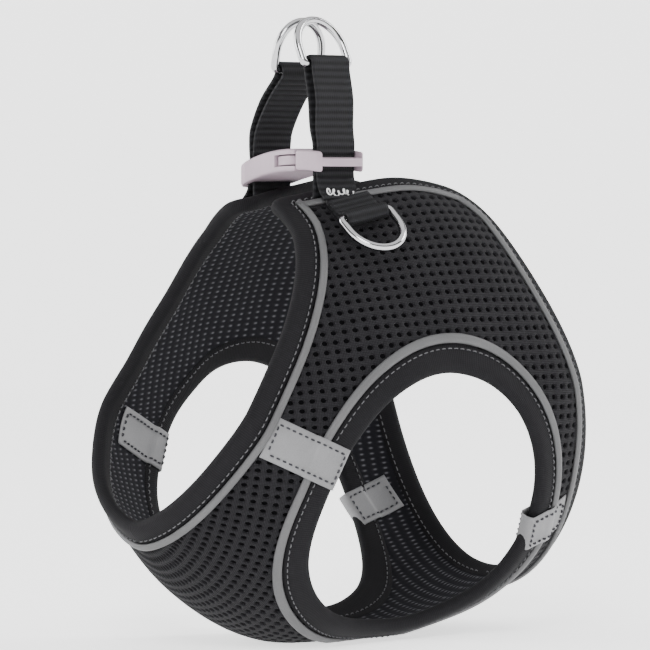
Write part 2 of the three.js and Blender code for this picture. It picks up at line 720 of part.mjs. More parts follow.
// One spring prong: an arm with a finger pad that shows in the side notch.
function prong(side) {
  const root = MOUTH_X - 0.2;
  const arm = [[root, 6.2], [root, 9.6], [root - 2, wide - 1.6], [root - 6, wide - 0.7], [root - 11, wide - 1.1],
    [root - 12.4, wide - 3], [root - 13.7, wide - 3.2], [root - 14.5, wide - 4.6], [root - 12.6, wide - 5.8],
    [root - 5, wide - 6.4]];
  const outline = side > 0 ? arm.map(([x, y]) => [x, y]) : arm.map(([x, y]) => [x, -y]).reverse();
  return plate(outline, BUCKLE_Z - PRONG_THICK / 2, BUCKLE_Z + PRONG_THICK / 2, 0);
}

// ---- Materials and assembly ---------------------------------------------
function finish(hex, roughness, metalness) {
  return new THREE.MeshStandardMaterial({ color: hex, roughness, metalness });
}
const MESH_FABRIC = finish(0x17181c, 0.9, 0);
const BINDING_TAPE = finish(0x101114, 0.8, 0);
const REFLECTIVE = finish(0x9a9a9e, 0.45, 0.1);
const WEBBING = finish(0x0e0f12, 0.85, 0);
const CHROME = finish(0xc8cacc, 0.15, 1);
const PLASTIC = finish(0xa59aa0, 0.5, 0);

const vest = new THREE.Group();
vest.name = 'dog_harness_vest';
vest.position.y = -REST_Y;

function addMesh(name, geometry, material) {
  const mesh = new THREE.Mesh(geometry, material);
  mesh.name = name;
  vest.add(mesh);
}
function addSolid(name, solid, material) {
  addMesh(name, toGeometry(solid), material);
}

addSolid('belly_panel', sheetStrip, MESH_FABRIC);
addSolid('left_side_panel', sheetSides[1], MESH_FABRIC);
addSolid('right_side_panel', sheetSides[-1], MESH_FABRIC);

const frontPart = box(-FAR, FAR, -FAR, LENGTH / 2, -FAR, FAR);
const rearPart = box(-FAR, FAR, LENGTH / 2, FAR, -FAR, FAR);
const rimStrip = rim.intersect(stripBox);
const pipingStrip = rimPiping.intersect(stripBox);
addSolid('neck_binding', rimStrip.intersect(frontPart), BINDING_TAPE);
addSolid('hem_binding', rimStrip.intersect(rearPart), BINDING_TAPE);
addSolid('neck_piping', pipingStrip.intersect(frontPart), REFLECTIVE);
addSolid('hem_piping', pipingStrip.intersect(rearPart), REFLECTIVE);

const sides = [[1, 'left', leftHalf, leftBox], [-1, 'right', rightHalf, rightBox]];
for (const [side, word, region] of sides) {
  addSolid(`${word}_edge_binding`, largest(rim.intersect(region)), BINDING_TAPE);
  addSolid(`${word}_edge_piping`, largest(rimPiping.intersect(region)), REFLECTIVE);
  addSolid(`${word}_leg_binding`, legs[side], BINDING_TAPE);
  addSolid(`${word}_leg_piping`, largest(legPipings[side].intersect(region)), REFLECTIVE);
  addSolid(`${word}_front_tape`, tapeSolid(...FRONT_TAPE, side), REFLECTIVE);
  addSolid(`${word}_rear_tape`, tapeSolid(...REAR_TAPE, side), REFLECTIVE);
  addSolid(`${word}_strap`, strapSolid(side), WEBBING);
  addSolid(`${word}_ring_tab`, tabSolid(side), WEBBING);
  addMesh(`${word}_top_ring`, topRing(side), CHROME);
  addMesh(`${word}_side_ring`, sideRing(side), CHROME);
}

addSolid('buckle_female_shell', femaleShell(), PLASTIC);
addSolid('buckle_male_base', maleBase(), PLASTIC);
addSolid('buckle_rear_prong', prong(1), PLASTIC);
addSolid('buckle_front_prong', prong(-1), PLASTIC);

export default vest;
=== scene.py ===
import math

import bmesh
import bpy
import numpy as np
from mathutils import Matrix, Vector


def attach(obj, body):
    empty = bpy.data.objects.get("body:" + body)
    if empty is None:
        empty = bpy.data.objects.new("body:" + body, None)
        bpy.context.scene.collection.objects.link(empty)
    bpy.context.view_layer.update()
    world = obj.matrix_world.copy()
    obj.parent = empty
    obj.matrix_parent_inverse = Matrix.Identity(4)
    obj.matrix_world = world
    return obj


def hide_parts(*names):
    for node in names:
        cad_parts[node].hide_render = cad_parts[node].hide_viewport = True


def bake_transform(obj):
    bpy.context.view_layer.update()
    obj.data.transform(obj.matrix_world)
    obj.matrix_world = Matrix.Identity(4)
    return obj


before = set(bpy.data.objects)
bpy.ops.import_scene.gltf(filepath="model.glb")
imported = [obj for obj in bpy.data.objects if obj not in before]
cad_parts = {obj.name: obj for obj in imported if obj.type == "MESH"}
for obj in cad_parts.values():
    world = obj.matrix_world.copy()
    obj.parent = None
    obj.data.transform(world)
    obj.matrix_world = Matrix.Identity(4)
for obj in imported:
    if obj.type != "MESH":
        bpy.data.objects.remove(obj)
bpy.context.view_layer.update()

# Lengths are in millimetres until a mesh is made. Y starts at the neck edge until then too.
MM = 0.001
REST_Y = 94.0
LENGTH, BACK_FRONT, BACK_LENGTH = 185.0, 57.0, 95.0
CHEST_HALF_WIDTH, BACK_HEIGHT = 71.0, 182.0
KEEL_FLAT, NECK_DROP, HEM_DROP = 0.75, 50.0, 22.0
HEM_CURL, HEM_CURL_LENGTH = 6.0, 18.0
FABRIC_HALF = 1.75
BINDING_WIDTH, BINDING_HALF = 9.0, 3.0
PIPING_CENTRE = 10.9
HALF_WIDTH = np.array([0.655, 0.91, 1.0, 0.93]) * CHEST_HALF_WIDTH
WIDE_Z = np.array([0.522, 0.489, 0.495, 0.571]) * BACK_HEIGHT
TOP_Z = np.array([0.956, 0.978, 1.0, 0.94]) * BACK_HEIGHT
TOP_X = np.array([0.079, 0.183, 0.254, 0.338]) * CHEST_HALF_WIDTH
LOW_POWER = [1.65, 2, 2, 2]
HIGH_POWER = [2, 1.7, 1.55, 1.45]
CORNER = 13.0
STRAP_Y, STRAP_X, BUCKLE_Z = 83.0, 20.6, 189.0
WEBBING, WEBBING_THICK = 18.6, 1.4
RING_BAR = {1: (16.2, 229.0), -1: (3.0, 227.0)}
RING_LEAN = {1: 27.0, -1: 12.0}
RING_WIRE, RING_WIDTH, RING_HEIGHT = 3.2, 25.6, 21.0
SIDES = {1: "left", -1: "right"}


# ---------------------------------------------------------------- body surface
def through(values, t):
    total = 0.0
    for i in range(4):
        weight = values[i]
        for j in range(4):
            if i != j:
                weight = weight * (3 * t - j) / (i - j)
        total = total + weight
    return total


def smooth(k):
    c = np.clip(k, 0, 1)
    return c * c * (3 - 2 * c)


def keel_z(t):
    front = np.maximum(0, 1 - t / 0.42)
    rear = np.maximum(0, (t - 0.6) / 0.4)
    return KEEL_FLAT + NECK_DROP * front ** 2 + HEM_DROP * rear ** 1.7


def base_surface(s, t):
    a = np.abs(s)
    wide, wide_z = through(HALF_WIDTH, t), through(WIDE_Z, t)
    top_z, top_x, low_z = through(TOP_Z, t), through(TOP_X, t), keel_z(t)
    n = through(LOW_POWER, t)
    sin, cos = np.sin(a * np.pi), np.maximum(np.cos(a * np.pi), 0)
    r = (np.abs(sin) ** n + cos ** n) ** (-1 / n)
    x_low, z_low = wide * r * sin, wide_z - (wide_z - low_z) * r * cos
    n = through(HIGH_POWER, t)
    sin, cos = np.sin((a - 0.5) * np.pi), np.cos((a - 0.5) * np.pi)
    r = (np.abs(sin) ** n + np.abs(cos) ** n) ** (-1 / n)
    x_up, z_up = top_x + (wide - top_x) * r * cos, wide_z + (top_z - wide_z) * r * sin
    x, z = np.where(a < 0.5, x_low, x_up), np.where(a < 0.5, z_low, z_up)
    k = np.maximum(0, (z - low_z) / (top_z - low_z))
    from_hem = (1 - t) * (LENGTH + (BACK_LENGTH - LENGTH) * k * k)
    x = x * (1 - HEM_CURL / wide * np.maximum(0, 1 - from_hem / HEM_CURL_LENGTH) ** 2)
    neck_lean = 0.55 * smooth(k / 0.92) + 0.45 * np.minimum(1, k / 0.9)
    lean = (1 - t) * neck_lean + t * k * k
    y = LENGTH * t + (BACK_FRONT + (BACK_LENGTH - LENGTH) * t) * lean
    return np.stack([np.where(s < 0, -x, x), y, z], -1)


STEP = 1e-3


def tangents(s, t):
    ds = (base_surface(s + STEP, t) - base_surface(s - STEP, t)) / (2 * STEP)
    dt = (base_surface(s, t + STEP) - base_surface(s, t - STEP)) / (2 * STEP)
    normal = np.cross(dt, ds)
    normal /= np.linalg.norm(normal, axis=-1, keepdims=True)
    return ds, dt, normal


def ripple(point):
    """Soft undulation of worn cloth, in millimetres along the normal."""
    x, y, z = point[..., 0], point[..., 1], point[..., 2]
    wave = np.sin(y * 0.083 + 0.6) * np.sin(z * 0.071 + 0.4) + 0.5 * np.sin(y * 0.17 + z * 0.11)
    return 0.55 * wave * np.clip(z / 25.0, 0, 1)


def lift(s, t, h):
    point = base_surface(s, t)
    _, _, normal = tangents(s, t)
    out = point + normal * (np.asarray(h) + ripple(point))[..., None]
    out[..., 2] = np.maximum(out[..., 2], 0.0)
    return out


def slide(s, t, direction, distance, parts=3):
    for _ in range(parts):
        ds, dt, _ = tangents(s, t)
        ss, st, tt = (ds * ds).sum(-1), (ds * dt).sum(-1), (dt * dt).sum(-1)
        a, b = (ds * direction).sum(-1), (dt * direction).sum(-1)
        det = ss * tt - st * st
        step = distance / parts
        s, t = s + (a * tt - b * st) / det * step, t + (b * ss - a * st) / det * step
    return s, t


# ---------------------------------------------------------------- edge paths
def resample(points, measure, spacing):
    along = np.concatenate([[0], np.cumsum(np.linalg.norm(np.diff(measure, axis=0), axis=1))])
    count = max(2, int(round(along[-1] / spacing)))
    at = np.linspace(0, along[-1], count + 1)
    return np.stack([np.interp(at, along, points[:, k]) for k in range(points.shape[1])], -1), at


def edge_path(spacing=1.3):
    ds_, dt_, _ = tangents(np.array(1.0), np.array(0.1))
    ds, dt = CORNER / np.linalg.norm(ds_), CORNER / np.linalg.norm(dt_)
    turn = np.linspace(0, np.pi / 2, 24)
    neck = np.stack([np.linspace(0, 1 - ds, 200), np.zeros(200)], -1)
    first = np.stack([1 - ds + ds * np.sin(turn), dt - dt * np.cos(turn)], -1)
    top = np.stack([np.ones(80), np.linspace(dt, 1 - dt, 80)], -1)
    second = np.stack([1 - ds + ds * np.cos(turn), 1 - dt + dt * np.sin(turn)], -1)
    hem = np.stack([np.linspace(1 - ds, 0, 200), np.ones(200)], -1)
    path = np.concatenate([neck, first[1:], top[1:], second[1:], hem[1:]])
    path, along = resample(path, base_surface(path[:, 0], path[:, 1]), spacing)
    point = base_surface(path[:, 0], path[:, 1])
    tangent = np.gradient(point, axis=0)
    tangent[0], tangent[-1] = (1, 0, 0), (-1, 0, 0)
    tangent /= np.linalg.norm(tangent, axis=1, keepdims=True)
    _, _, normal = tangents(path[:, 0], path[:, 1])
    inward = np.cross(tangent, normal)
    middle = base_surface(np.array(0.5), np.array(0.5))
    if ((middle - point[len(point) // 2]) * inward[len(point) // 2]).sum() < 0:
        inward = -inward
    return path, along, inward


EDGE, EDGE_ALONG, EDGE_IN = edge_path()


def edge_rows(profile, side):
    """Sections of a band along the outer edge: rows of points for a (inset, height) profile."""
    rows = []
    for w, h in profile:
        s, t = slide(EDGE[:, 0], EDGE[:, 1], EDGE_IN, w)
        point = lift(s, t, np.full(len(s), float(h)))
        point[0, 0] = point[-1, 0] = 0.0
        rows.append(point)
    out = np.stack(rows, 1)
    out[..., 0] *= side
    return out


def unit(v):
    v = np.asarray(v, float)
    return v / np.linalg.norm(v)


LEG_AXIS = unit((0.933, -0.151, -0.326))
LEG_UP = np.array([0.35, 0.175, 0.92])
LEG_UP = unit(LEG_UP - LEG_AXIS * (LEG_UP @ LEG_AXIS))
LEG_ALONG = unit(np.cross(LEG_UP, LEG_AXIS))
LEG_CENTRE = np.array([0.803 * CHEST_HALF_WIDTH, 0.554 * LENGTH, 0.3 * BACK_HEIGHT])
LEG_HALF = (50.5, 54.0)
LEG_POWER, LEG_EGG = 2.15, 0.15


def leg_oval(angle, grow):
    c, s = np.cos(angle), np.sin(angle)
    e = 2 / LEG_POWER
    along = (LEG_HALF[0] + grow) * np.sign(c) * np.abs(c) ** e * (1 - LEG_EGG * s)
    return along, (LEG_HALF[1] + grow) * np.sign(s) * np.abs(s) ** e


def leg_hit(angle, grow):
    along, up = leg_oval(angle, grow)
    s, t = np.full(len(angle), 0.35), np.full(len(angle), 0.5)
    for k in list(np.linspace(0.1, 1, 14)) + [1.0] * 6:
        for _ in range(2):
            off = base_surface(s, t) - LEG_CENTRE
            ds, dt, _ = tangents(s, t)
            ea, eu = off @ LEG_ALONG - along * k, off @ LEG_UP - up * k
            a, b, c, d = ds @ LEG_ALONG, dt @ LEG_ALONG, ds @ LEG_UP, dt @ LEG_UP
            det = a * d - b * c
            s = s - np.clip((ea * d - eu * b) / det, -0.1, 0.1)
            t = t - np.clip((eu * a - ea * c) / det, -0.1, 0.1)
    return s, t


def leg_angles(spacing=1.3):
    fine = np.linspace(0, 2 * np.pi, 721)
    point = base_surface(*leg_hit(fine, 4.0))
    angle, along = resample(fine[:, None], point, spacing)
    return angle[:-1, 0], along[:-1]


LEG_ANGLE, LEG_ALONG_MM = leg_angles()


def leg_rows(profile, side):
    rows = []
    cache = {}
    for w, h in profile:
        if w not in cache:
            cache[w] = leg_hit(LEG_ANGLE, w)
        s, t = cache[w]
        rows.append(lift(s, t, np.full(len(s), float(h))))
    out = np.stack(rows, 1)
    out[..., 0] *= side
    return out


# ---------------------------------------------------------------- mesh helpers
def to_metres(points):
    points = np.array(points, float).reshape(-1, 3).copy()
    points[:, 1] -= REST_Y
    return points * MM


def make(name, points, faces, material, uvs=None, smooth_angle=None):
    mesh = bpy.data.meshes.new(name)
    mesh.from_pydata([tuple(p) for p in to_metres(points)], [], faces)
    mesh.validate()
    mesh.update()
    if uvs is not None:
        layer = mesh.uv_layers.new(name="mm")
        index = np.zeros(len(mesh.loops), dtype=np.int32)
        mesh.loops.foreach_get("vertex_index", index)
        layer.data.foreach_set("uv", np.asarray(uvs, float)[index].ravel())
    bm = bmesh.new()
    bm.from_mesh(mesh)
    bmesh.ops.recalc_face_normals(bm, faces=bm.faces)
    bm.to_mesh(mesh)
    bm.free()
    mesh.polygons.foreach_set("use_smooth", [True] * len(mesh.polygons))
    obj = bpy.data.objects.new(name, mesh)
    bpy.context.collection.objects.link(obj)
    obj.data.materials.append(material)
    if smooth_angle is not None:
        mesh.set_sharp_from_angle(angle=math.radians(smooth_angle))
    return obj


def band(name, rows, material, closed_along, closed_round=True, along=None, caps=True):
    """A swept solid or strip from rows of sections, with uv in millimetres."""
    n, m = rows.shape[:2]
    faces = []
    last = n if closed_along else n - 1
    round_ = m if closed_round else m - 1
    for i in range(last):
        j = (i + 1) % n
        for k in range(round_):
            l = (k + 1) % m
            faces.append((i * m + k, j * m + k, j * m + l, i * m + l))
    if closed_round and caps and not closed_along:
        faces.append(tuple(range(m)))
        faces.append(tuple((n - 1) * m + k for k in reversed(range(m))))
    if along is None:
        along = np.concatenate([[0], np.cumsum(np.linalg.norm(np.diff(rows[:, 0], axis=0), axis=1))])
    across = np.concatenate([[0], np.cumsum(np.linalg.norm(np.diff(rows[n // 2], axis=0), axis=1))])
    uv = np.stack(np.broadcast_arrays(np.asarray(along)[:, None], across[None, :]), -1).reshape(-1, 2)
    return make(name, rows, faces, material, uv)


def tube_rows(path, radius, count=10, closed=False, normals=None):
    """Sections of a round tube along a path."""
    path = np.asarray(path, float)
    if closed:
        tangent = np.roll(path, -1, 0) - np.roll(path, 1, 0)
    else:
        tangent = np.gradient(path, axis=0)
    tangent /= np.linalg.norm(tangent, axis=1, keepdims=True)
    if normals is None:
        normals = np.tile(np.array([0.0, 0.0, 1.0]), (len(path), 1))
    side = np.cross(tangent, normals)
    side /= np.linalg.norm(side, axis=1, keepdims=True)
    up = np.cross(side, tangent)
    a = np.linspace(0, 2 * np.pi, count, endpoint=False)
    ring = side[:, None] * np.cos(a)[None, :, None] + up[:, None] * np.sin(a)[None, :, None]
    return path[:, None] + radius * ring


# ---------------------------------------------------------------- materials
def material(name, colour, roughness, metallic=0.0, gloss=0.5):
    mat = bpy.data.materials.new(name)
    mat.use_nodes = True
    nodes, links = mat.node_tree.nodes, mat.node_tree.links
    shader = nodes["Principled BSDF"]
    shader.inputs["Base Color"].default_value = (*colour, 1)
    shader.inputs["Roughness"].default_value = roughness
    shader.inputs["Metallic"].default_value = metallic
    shader.inputs["Specular IOR Level"].default_value = gloss
    return mat, nodes, links, shader


def math_node(nodes, links, operation, a, b=None):
    node = nodes.new("ShaderNodeMath")
    node.operation = operation
    for i, value in enumerate((a, b)):
        if value is None:
            continue
        if isinstance(value, (int, float)):
            node.inputs[i].default_value = value
        else:
            links.new(value, node.inputs[i])
    return node.outputs[0]


def ramp(nodes, links, source, stops):
    node = nodes.new("ShaderNodeValToRGB")
    node.color_ramp.elements[0].position, node.color_ramp.elements[0].color = stops[0][0], (*stops[0][1], 1)
    node.color_ramp.elements[1].position, node.color_ramp.elements[1].color = stops[-1][0], (*stops[-1][1], 1)
    for position, colour in stops[1:-1]:
        element = node.color_ramp.elements.new(position)
        element.color = (*colour, 1)
    links.new(source, node.inputs[0])
    return node.outputs[0]


def bump(nodes, links, shader, height, strength, distance):
    node = nodes.new("ShaderNodeBump")
    node.inputs["Strength"].default_value = strength
    node.inputs["Distance"].default_value = distance
    links.new(height, node.inputs["Height"])
    links.new(node.outputs[0], shader.inputs["Normal"])


def uv_parts(nodes, links):
    uv = nodes.new("ShaderNodeUVMap")
    uv.uv_map = "mm"
    split = nodes.new("ShaderNodeSeparateXYZ")
    links.new(uv.outputs[0], split.inputs[0])
    return split.outputs[0], split.outputs[1]


def noise(nodes, links, scale, detail=3):
    where = nodes.new("ShaderNodeTexCoord")
    node = nodes.new("ShaderNodeTexNoise")
    node.inputs["Scale"].default_value = scale
    node.inputs["Detail"].default_value = detail
    links.new(where.outputs["Object"], node.inputs["Vector"])
    return node.outputs[0]


def wave(nodes, links, source, period):
    angle = math_node(nodes, links, "MULTIPLY", source, 2 * math.pi / period)
    sine = math_node(nodes, links, "SINE", angle)
    half = math_node(nodes, links, "MULTIPLY", sine, 0.5)
    return math_node(nodes, links, "ADD", half, 0.5)


def knit_material():
    mat, nodes, links, shader = material("air_mesh", (0.02, 0.02, 0.024), 0.85, gloss=0.12)
    u, v = uv_parts(nodes, links)
    loops = math_node(nodes, links, "MULTIPLY", wave(nodes, links, u, 0.62), wave(nodes, links, v, 0.68))
    grain = noise(nodes, links, 900)
    mixed = math_node(nodes, links, "ADD", math_node(nodes, links, "MULTIPLY", loops, 0.7),
                      math_node(nodes, links, "MULTIPLY", grain, 0.5))
    colour = ramp(nodes, links, mixed, [(0.15, (0.0045, 0.0043, 0.0051)), (0.9, (0.0165, 0.016, 0.0185))])
    links.new(colour, shader.inputs["Base Color"])
    shader.inputs["Sheen Weight"].default_value = 0.04
    bump(nodes, links, shader, mixed, 0.6, 0.0003)
    return mat


def dark_material():
    mat, nodes, links, shader = material("spacer_yarn", (0.004, 0.004, 0.005), 0.95, gloss=0.05)
    grain = noise(nodes, links, 1500)
    colour = ramp(nodes, links, grain, [(0.3, (0.0012, 0.0012, 0.0015)), (0.66, (0.003, 0.003, 0.0035)),
                                        (0.86, (0.022, 0.022, 0.025))])
    links.new(colour, shader.inputs["Base Color"])
    return mat


def lining_material():
    mat, nodes, links, shader = material("inner_knit_painted_highlights", (0.02, 0.02, 0.024), 0.85, gloss=0.12)
    u, v = uv_parts(nodes, links)
    # Knit dash pattern of the lining; its peaks carry painted highlights
    knit_dash_highlight = math_node(nodes, links, "MULTIPLY", wave(nodes, links, u, 4.8), wave(nodes, links, v, 2.5))
    grain = noise(nodes, links, 700)
    mixed = math_node(nodes, links, "ADD", math_node(nodes, links, "MULTIPLY", knit_dash_highlight, 0.85),
                      math_node(nodes, links, "MULTIPLY", grain, 0.25))
    # The two dark stops are the knit's own tone; the bright top stop is painted highlight on the dashes.
    colour = ramp(nodes, links, mixed, [(0.30, (0.006, 0.006, 0.008)), (0.66, (0.016, 0.016, 0.019)),
                                        (0.95, (0.085, 0.085, 0.093))])
    links.new(colour, shader.inputs["Base Color"])
    bump(nodes, links, shader, mixed, 0.7, 0.0005)
    return mat


def binding_material():
    mat, nodes, links, shader = material("edge_tape", (0.012, 0.012, 0.014), 0.8, gloss=0.14)
    u, v = uv_parts(nodes, links)
    ribs = wave(nodes, links, u, 0.85)
    cross = wave(nodes, links, v, 0.7)
    weave = math_node(nodes, links, "ADD", math_node(nodes, links, "MULTIPLY", ribs, 0.75),
                      math_node(nodes, links, "MULTIPLY", cross, 0.25))
    grain = noise(nodes, links, 400)
    mixed = math_node(nodes, links, "ADD", math_node(nodes, links, "MULTIPLY", weave, 0.7),
                      math_node(nodes, links, "MULTIPLY", grain, 0.4))
    colour = ramp(nodes, links, mixed, [(0.2, (0.0035, 0.0033, 0.0040)), (0.95, (0.0085, 0.0082, 0.0096))])
    links.new(colour, shader.inputs["Base Color"])
    bump(nodes, links, shader, mixed, 0.4, 0.00025)
    return mat


def webbing_material():
    mat, nodes, links, shader = material("strap_webbing_rib_highlights", (0.012, 0.012, 0.014), 0.75, gloss=0.2)
    u, v = uv_parts(nodes, links)
    # Rib stripes: the ribs are real and are also raised by the bump; their lighter crests are painted
    # highlight
    ribs = wave(nodes, links, u, 2.8)
    threads = wave(nodes, links, v, 0.9)
    mixed = math_node(nodes, links, "ADD", math_node(nodes, links, "MULTIPLY", ribs, 0.8),
                      math_node(nodes, links, "MULTIPLY", threads, 0.2))
    # The ramp paints each rib crest lighter than the trough: painted highlights on one black webbing.
    colour = ramp(nodes, links, mixed, [(0.1, (0.0028, 0.0028, 0.0034)), (0.9, (0.0105, 0.0105, 0.0122))])
    links.new(colour, shader.inputs["Base Color"])
    bump(nodes, links, shader, mixed, 0.7, 0.0005)
    return mat


def reflective_material(name, light):
    mat, nodes, links, shader = material(name, (light, light, light * 1.02), 0.55, gloss=0.3)
    grain = noise(nodes, links, 2600, 2)
    patch = noise(nodes, links, 60, 2)
    mixed = math_node(nodes, links, "ADD", math_node(nodes, links, "MULTIPLY", grain, 0.5),
                      math_node(nodes, links, "MULTIPLY", patch, 0.5))
    low, high = light * 0.82, light * 1.15
    colour = ramp(nodes, links, mixed, [(0.3, (low, low, low * 1.03)), (0.7, (high, high, high * 1.02))])
    links.new(colour, shader.inputs["Base Color"])
    shader.inputs["Metallic"].default_value = 0.15
    bump(nodes, links, shader, grain, 0.25, 0.0001)
    return mat


def thread_material(name, colour):
    mat, nodes, links, shader = material(name, colour, 0.8, gloss=0.2)
    grain = noise(nodes, links, 3000)
    bump(nodes, links, shader, grain, 0.4, 0.0001)
    return mat


def chrome_material():
    mat, nodes, links, shader = material("nickel_plate", (0.46, 0.46, 0.47), 0.12, 1.0)
    smudge = noise(nodes, links, 180, 4)
    rough = nodes.new("ShaderNodeMapRange")
    rough.inputs["To Min"].default_value, rough.inputs["To Max"].default_value = 0.07, 0.22
    links.new(smudge, rough.inputs["Value"])
    links.new(rough.outputs[0], shader.inputs["Roughness"])
    return mat


def plastic_material():
    mat, nodes, links, shader = material("moulded_plastic", (0.40, 0.345, 0.375), 0.45, gloss=0.35)
    grain = noise(nodes, links, 2200, 2)
    cloud = noise(nodes, links, 90, 2)
    colour = ramp(nodes, links, cloud, [(0.3, (0.30, 0.235, 0.275)), (0.7, (0.345, 0.275, 0.32))])
    links.new(colour, shader.inputs["Base Color"])
    bump(nodes, links, shader, grain, 0.12, 0.00012)
    return mat


KNIT, DARK, LINING = knit_material(), dark_material(), lining_material()
BINDING, WEB, CHROME, PLASTIC = binding_material(), webbing_material(), chrome_material(), plastic_material()
PIPING = reflective_material("reflective_piping", 0.085)
TAPE = reflective_material("reflective_tape", 0.165)
THREAD_GREY = thread_material("grey_thread", (0.10, 0.10, 0.105))
THREAD_DARK = thread_material("dark_thread", (0.03, 0.03, 0.035))
THREAD_WHITE = thread_material("white_thread", (0.62, 0.62, 0.62))


# ---------------------------------------------------------------- fabric grid
HOLE_Y, HOLE_V = 4.4, 3.95


def fabric_lattice(step_y, step_v):
    """Nodes (s, t) on the left half: even steps round the middle, and from there fore and aft."""
    s = np.linspace(0.0, 1.1, 500)
    low, high = np.full(s.shape, -0.6), np.full(s.shape, 1.6)
    for _ in range(36):
        middle = (low + high) / 2
        above = base_surface(s, middle)[:, 1] > 95.0
        high, low = np.where(above, middle, high), np.where(above, low, middle)
    points = base_surface(s, low)
    length = np.concatenate([[0], np.cumsum(np.linalg.norm(np.diff(points, axis=0), axis=1))])
    at = np.arange(int(length[-1] / step_v) + 1) * step_v
    middle_row = (np.interp(at, length, s), np.interp(at, length, low))
    count = int(150 / step_y)
    rows = {0: middle_row}
    for way in (1, -1):
        s, t = middle_row
        heading = np.tile([0.0, way, 0.0], (len(at), 1))
        for i in range(1, count + 1):
            normal = tangents(s, t)[2]
            heading = heading - normal * (heading * normal).sum(-1, keepdims=True)
            heading /= np.linalg.norm(heading, axis=-1, keepdims=True)
            s, t = slide(s, t, heading, step_y, 1)
            s, t = np.clip(s, 0, 1.12), np.clip(t, -0.25, 1.25)
            s[0] = 0.0
            rows[way * i] = (s, t)
    order = range(-count, count + 1)
    s_out = np.stack([rows[i][0] for i in order])
    t_out = np.stack([rows[i][1] for i in order])
    return s_out, t_out, np.array(order) * step_y, at


def inside_fabric(s, t, margin):
    """True where the fabric is: off the edge by margin, and outside the leg opening."""
    ok = np.isfinite(s) & np.isfinite(t)
    s_, t_ = np.where(ok, s, 0.4), np.where(ok, t, 0.5)
    ok &= (s_ <= 1) & (t_ >= 0) & (t_ <= 1)
    point = base_surface(s_, t_)
    off = point - LEG_CENTRE
    a, u = off @ LEG_ALONG, off @ LEG_UP
    half_u = LEG_HALF[1] + margin
    sine = np.clip(np.sign(u) * (np.abs(u) / half_u) ** (LEG_POWER / 2), -1, 1)
    half_a = (LEG_HALF[0] + margin) * (1 - LEG_EGG * sine)
    value = (np.abs(a) / half_a) ** LEG_POWER + (np.abs(u) / half_u) ** LEG_POWER
    ok &= value > 1
    edge = base_surface(EDGE[:, 0], EDGE[:, 1])
    flat = point.reshape(-1, 3)
    nearest = np.full(len(flat), 1e9)
    for start in range(0, len(flat), 4000):
        block = flat[start:start + 4000]
        gap = np.linalg.norm(block[:, None] - edge[None], axis=2).min(1)
        nearest[start:start + 4000] = gap
    return ok & (nearest.reshape(s.shape) > margin)


def hole_cloth(name, side, height, material_, hole=(1.42, 1.24), depth=0.9):
    """The outer mesh: a knitted net with an oval hole in every cell."""
    s, t, ys, at = fabric_lattice(HOLE_Y / 2, HOLE_V / 2)
    rows, cols = s.shape
    ci, cj = np.meshgrid(np.arange(1, rows - 1, 2), np.arange(1, cols - 1, 2), indexing="ij")
    around = [(-1, -1), (0, -1), (1, -1), (1, 0), (1, 1), (0, 1), (-1, 1), (-1, 0)]
    keep = inside_fabric(s[ci, cj], t[ci, cj], 4.5)
    for di, dj in around:
        keep &= np.isfinite(s[ci + di, cj + dj])
    ci, cj = ci[keep], cj[keep]
    st, uvs, faces, index = [], [], [], {}

    def node(i, j):
        key = (i, j)
        if key not in index:
            index[key] = len(st)
            st.append((s[i, j], t[i, j], height))
            uvs.append((ys[i], at[j]))
        return index[key]

    for i, j in zip(ci, cj):
        outer = [node(i + a, j + b) for a, b in around]
        ds_i = np.array([s[i + 1, j] - s[i - 1, j], t[i + 1, j] - t[i - 1, j]]) / HOLE_Y
        ds_j = np.array([s[i, j + 1] - s[i, j - 1], t[i, j + 1] - t[i, j - 1]]) / HOLE_V
        rings = []
        for scale, h in ((1.25, height + 0.12), (1.0, height - 0.15), (0.82, height - depth)):
            ring = []
            for a, b in around:
                angle = math.atan2(b, a)
                da, db = hole[0] * scale * math.cos(angle), hole[1] * scale * math.sin(angle)
                p = np.array([s[i, j], t[i, j]]) + ds_i * da + ds_j * db
                ring.append(len(st))
                st.append((p[0], p[1], h))
                uvs.append((ys[i] + da, at[j] + db))
            rings.append(ring)
        loops = [outer] + rings
        for inner, outer_ in zip(loops[1:], loops[:-1]):
            for k in range(8):
                l = (k + 1) % 8
                faces.append((outer_[k], outer_[l], inner[l], inner[k]))
    st = np.array(st)
    points = lift(st[:, 0], st[:, 1], st[:, 2])
    points[:, 0] = np.maximum(points[:, 0], 0)
    points[:, 0] *= side
    return make(name, points, faces, material_, np.array(uvs))


def plain_cloth(name, side, height, material_, spacing=2.6):
    """A smooth layer of the same cloth."""
    s, t, ys, at = fabric_lattice(spacing, spacing)
    rows, cols = s.shape
    good = inside_fabric(s, t, 3.2)
    points = lift(np.nan_to_num(s, nan=0.4), np.nan_to_num(t, nan=0.5), np.full(s.shape, height))
    points[..., 0] *= side
    uv = np.stack(np.broadcast_arrays(ys[:, None], at[None]), -1).reshape(-1, 2)
    number = np.arange(rows * cols).reshape(rows, cols)
    used, faces = set(), []
    for i in range(rows - 1):
        for j in range(cols - 1):
            if good[i, j] and good[i + 1, j] and good[i, j + 1] and good[i + 1, j + 1]:
                face = (number[i, j], number[i + 1, j], number[i + 1, j + 1], number[i, j + 1])
                faces.append(face)
                used.update(face)
    order = {old: new for new, old in enumerate(sorted(used))}
    flat = points.reshape(-1, 3)[sorted(used)]
    return make(name, flat, [tuple(order[k] for k in f) for f in faces], material_, uv[sorted(used)])


# ---------------------------------------------------------------- soft pieces
def soft(obj, side, *nodes, slot):
    if nodes:
        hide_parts(*nodes)
    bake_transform(obj)
    return obj


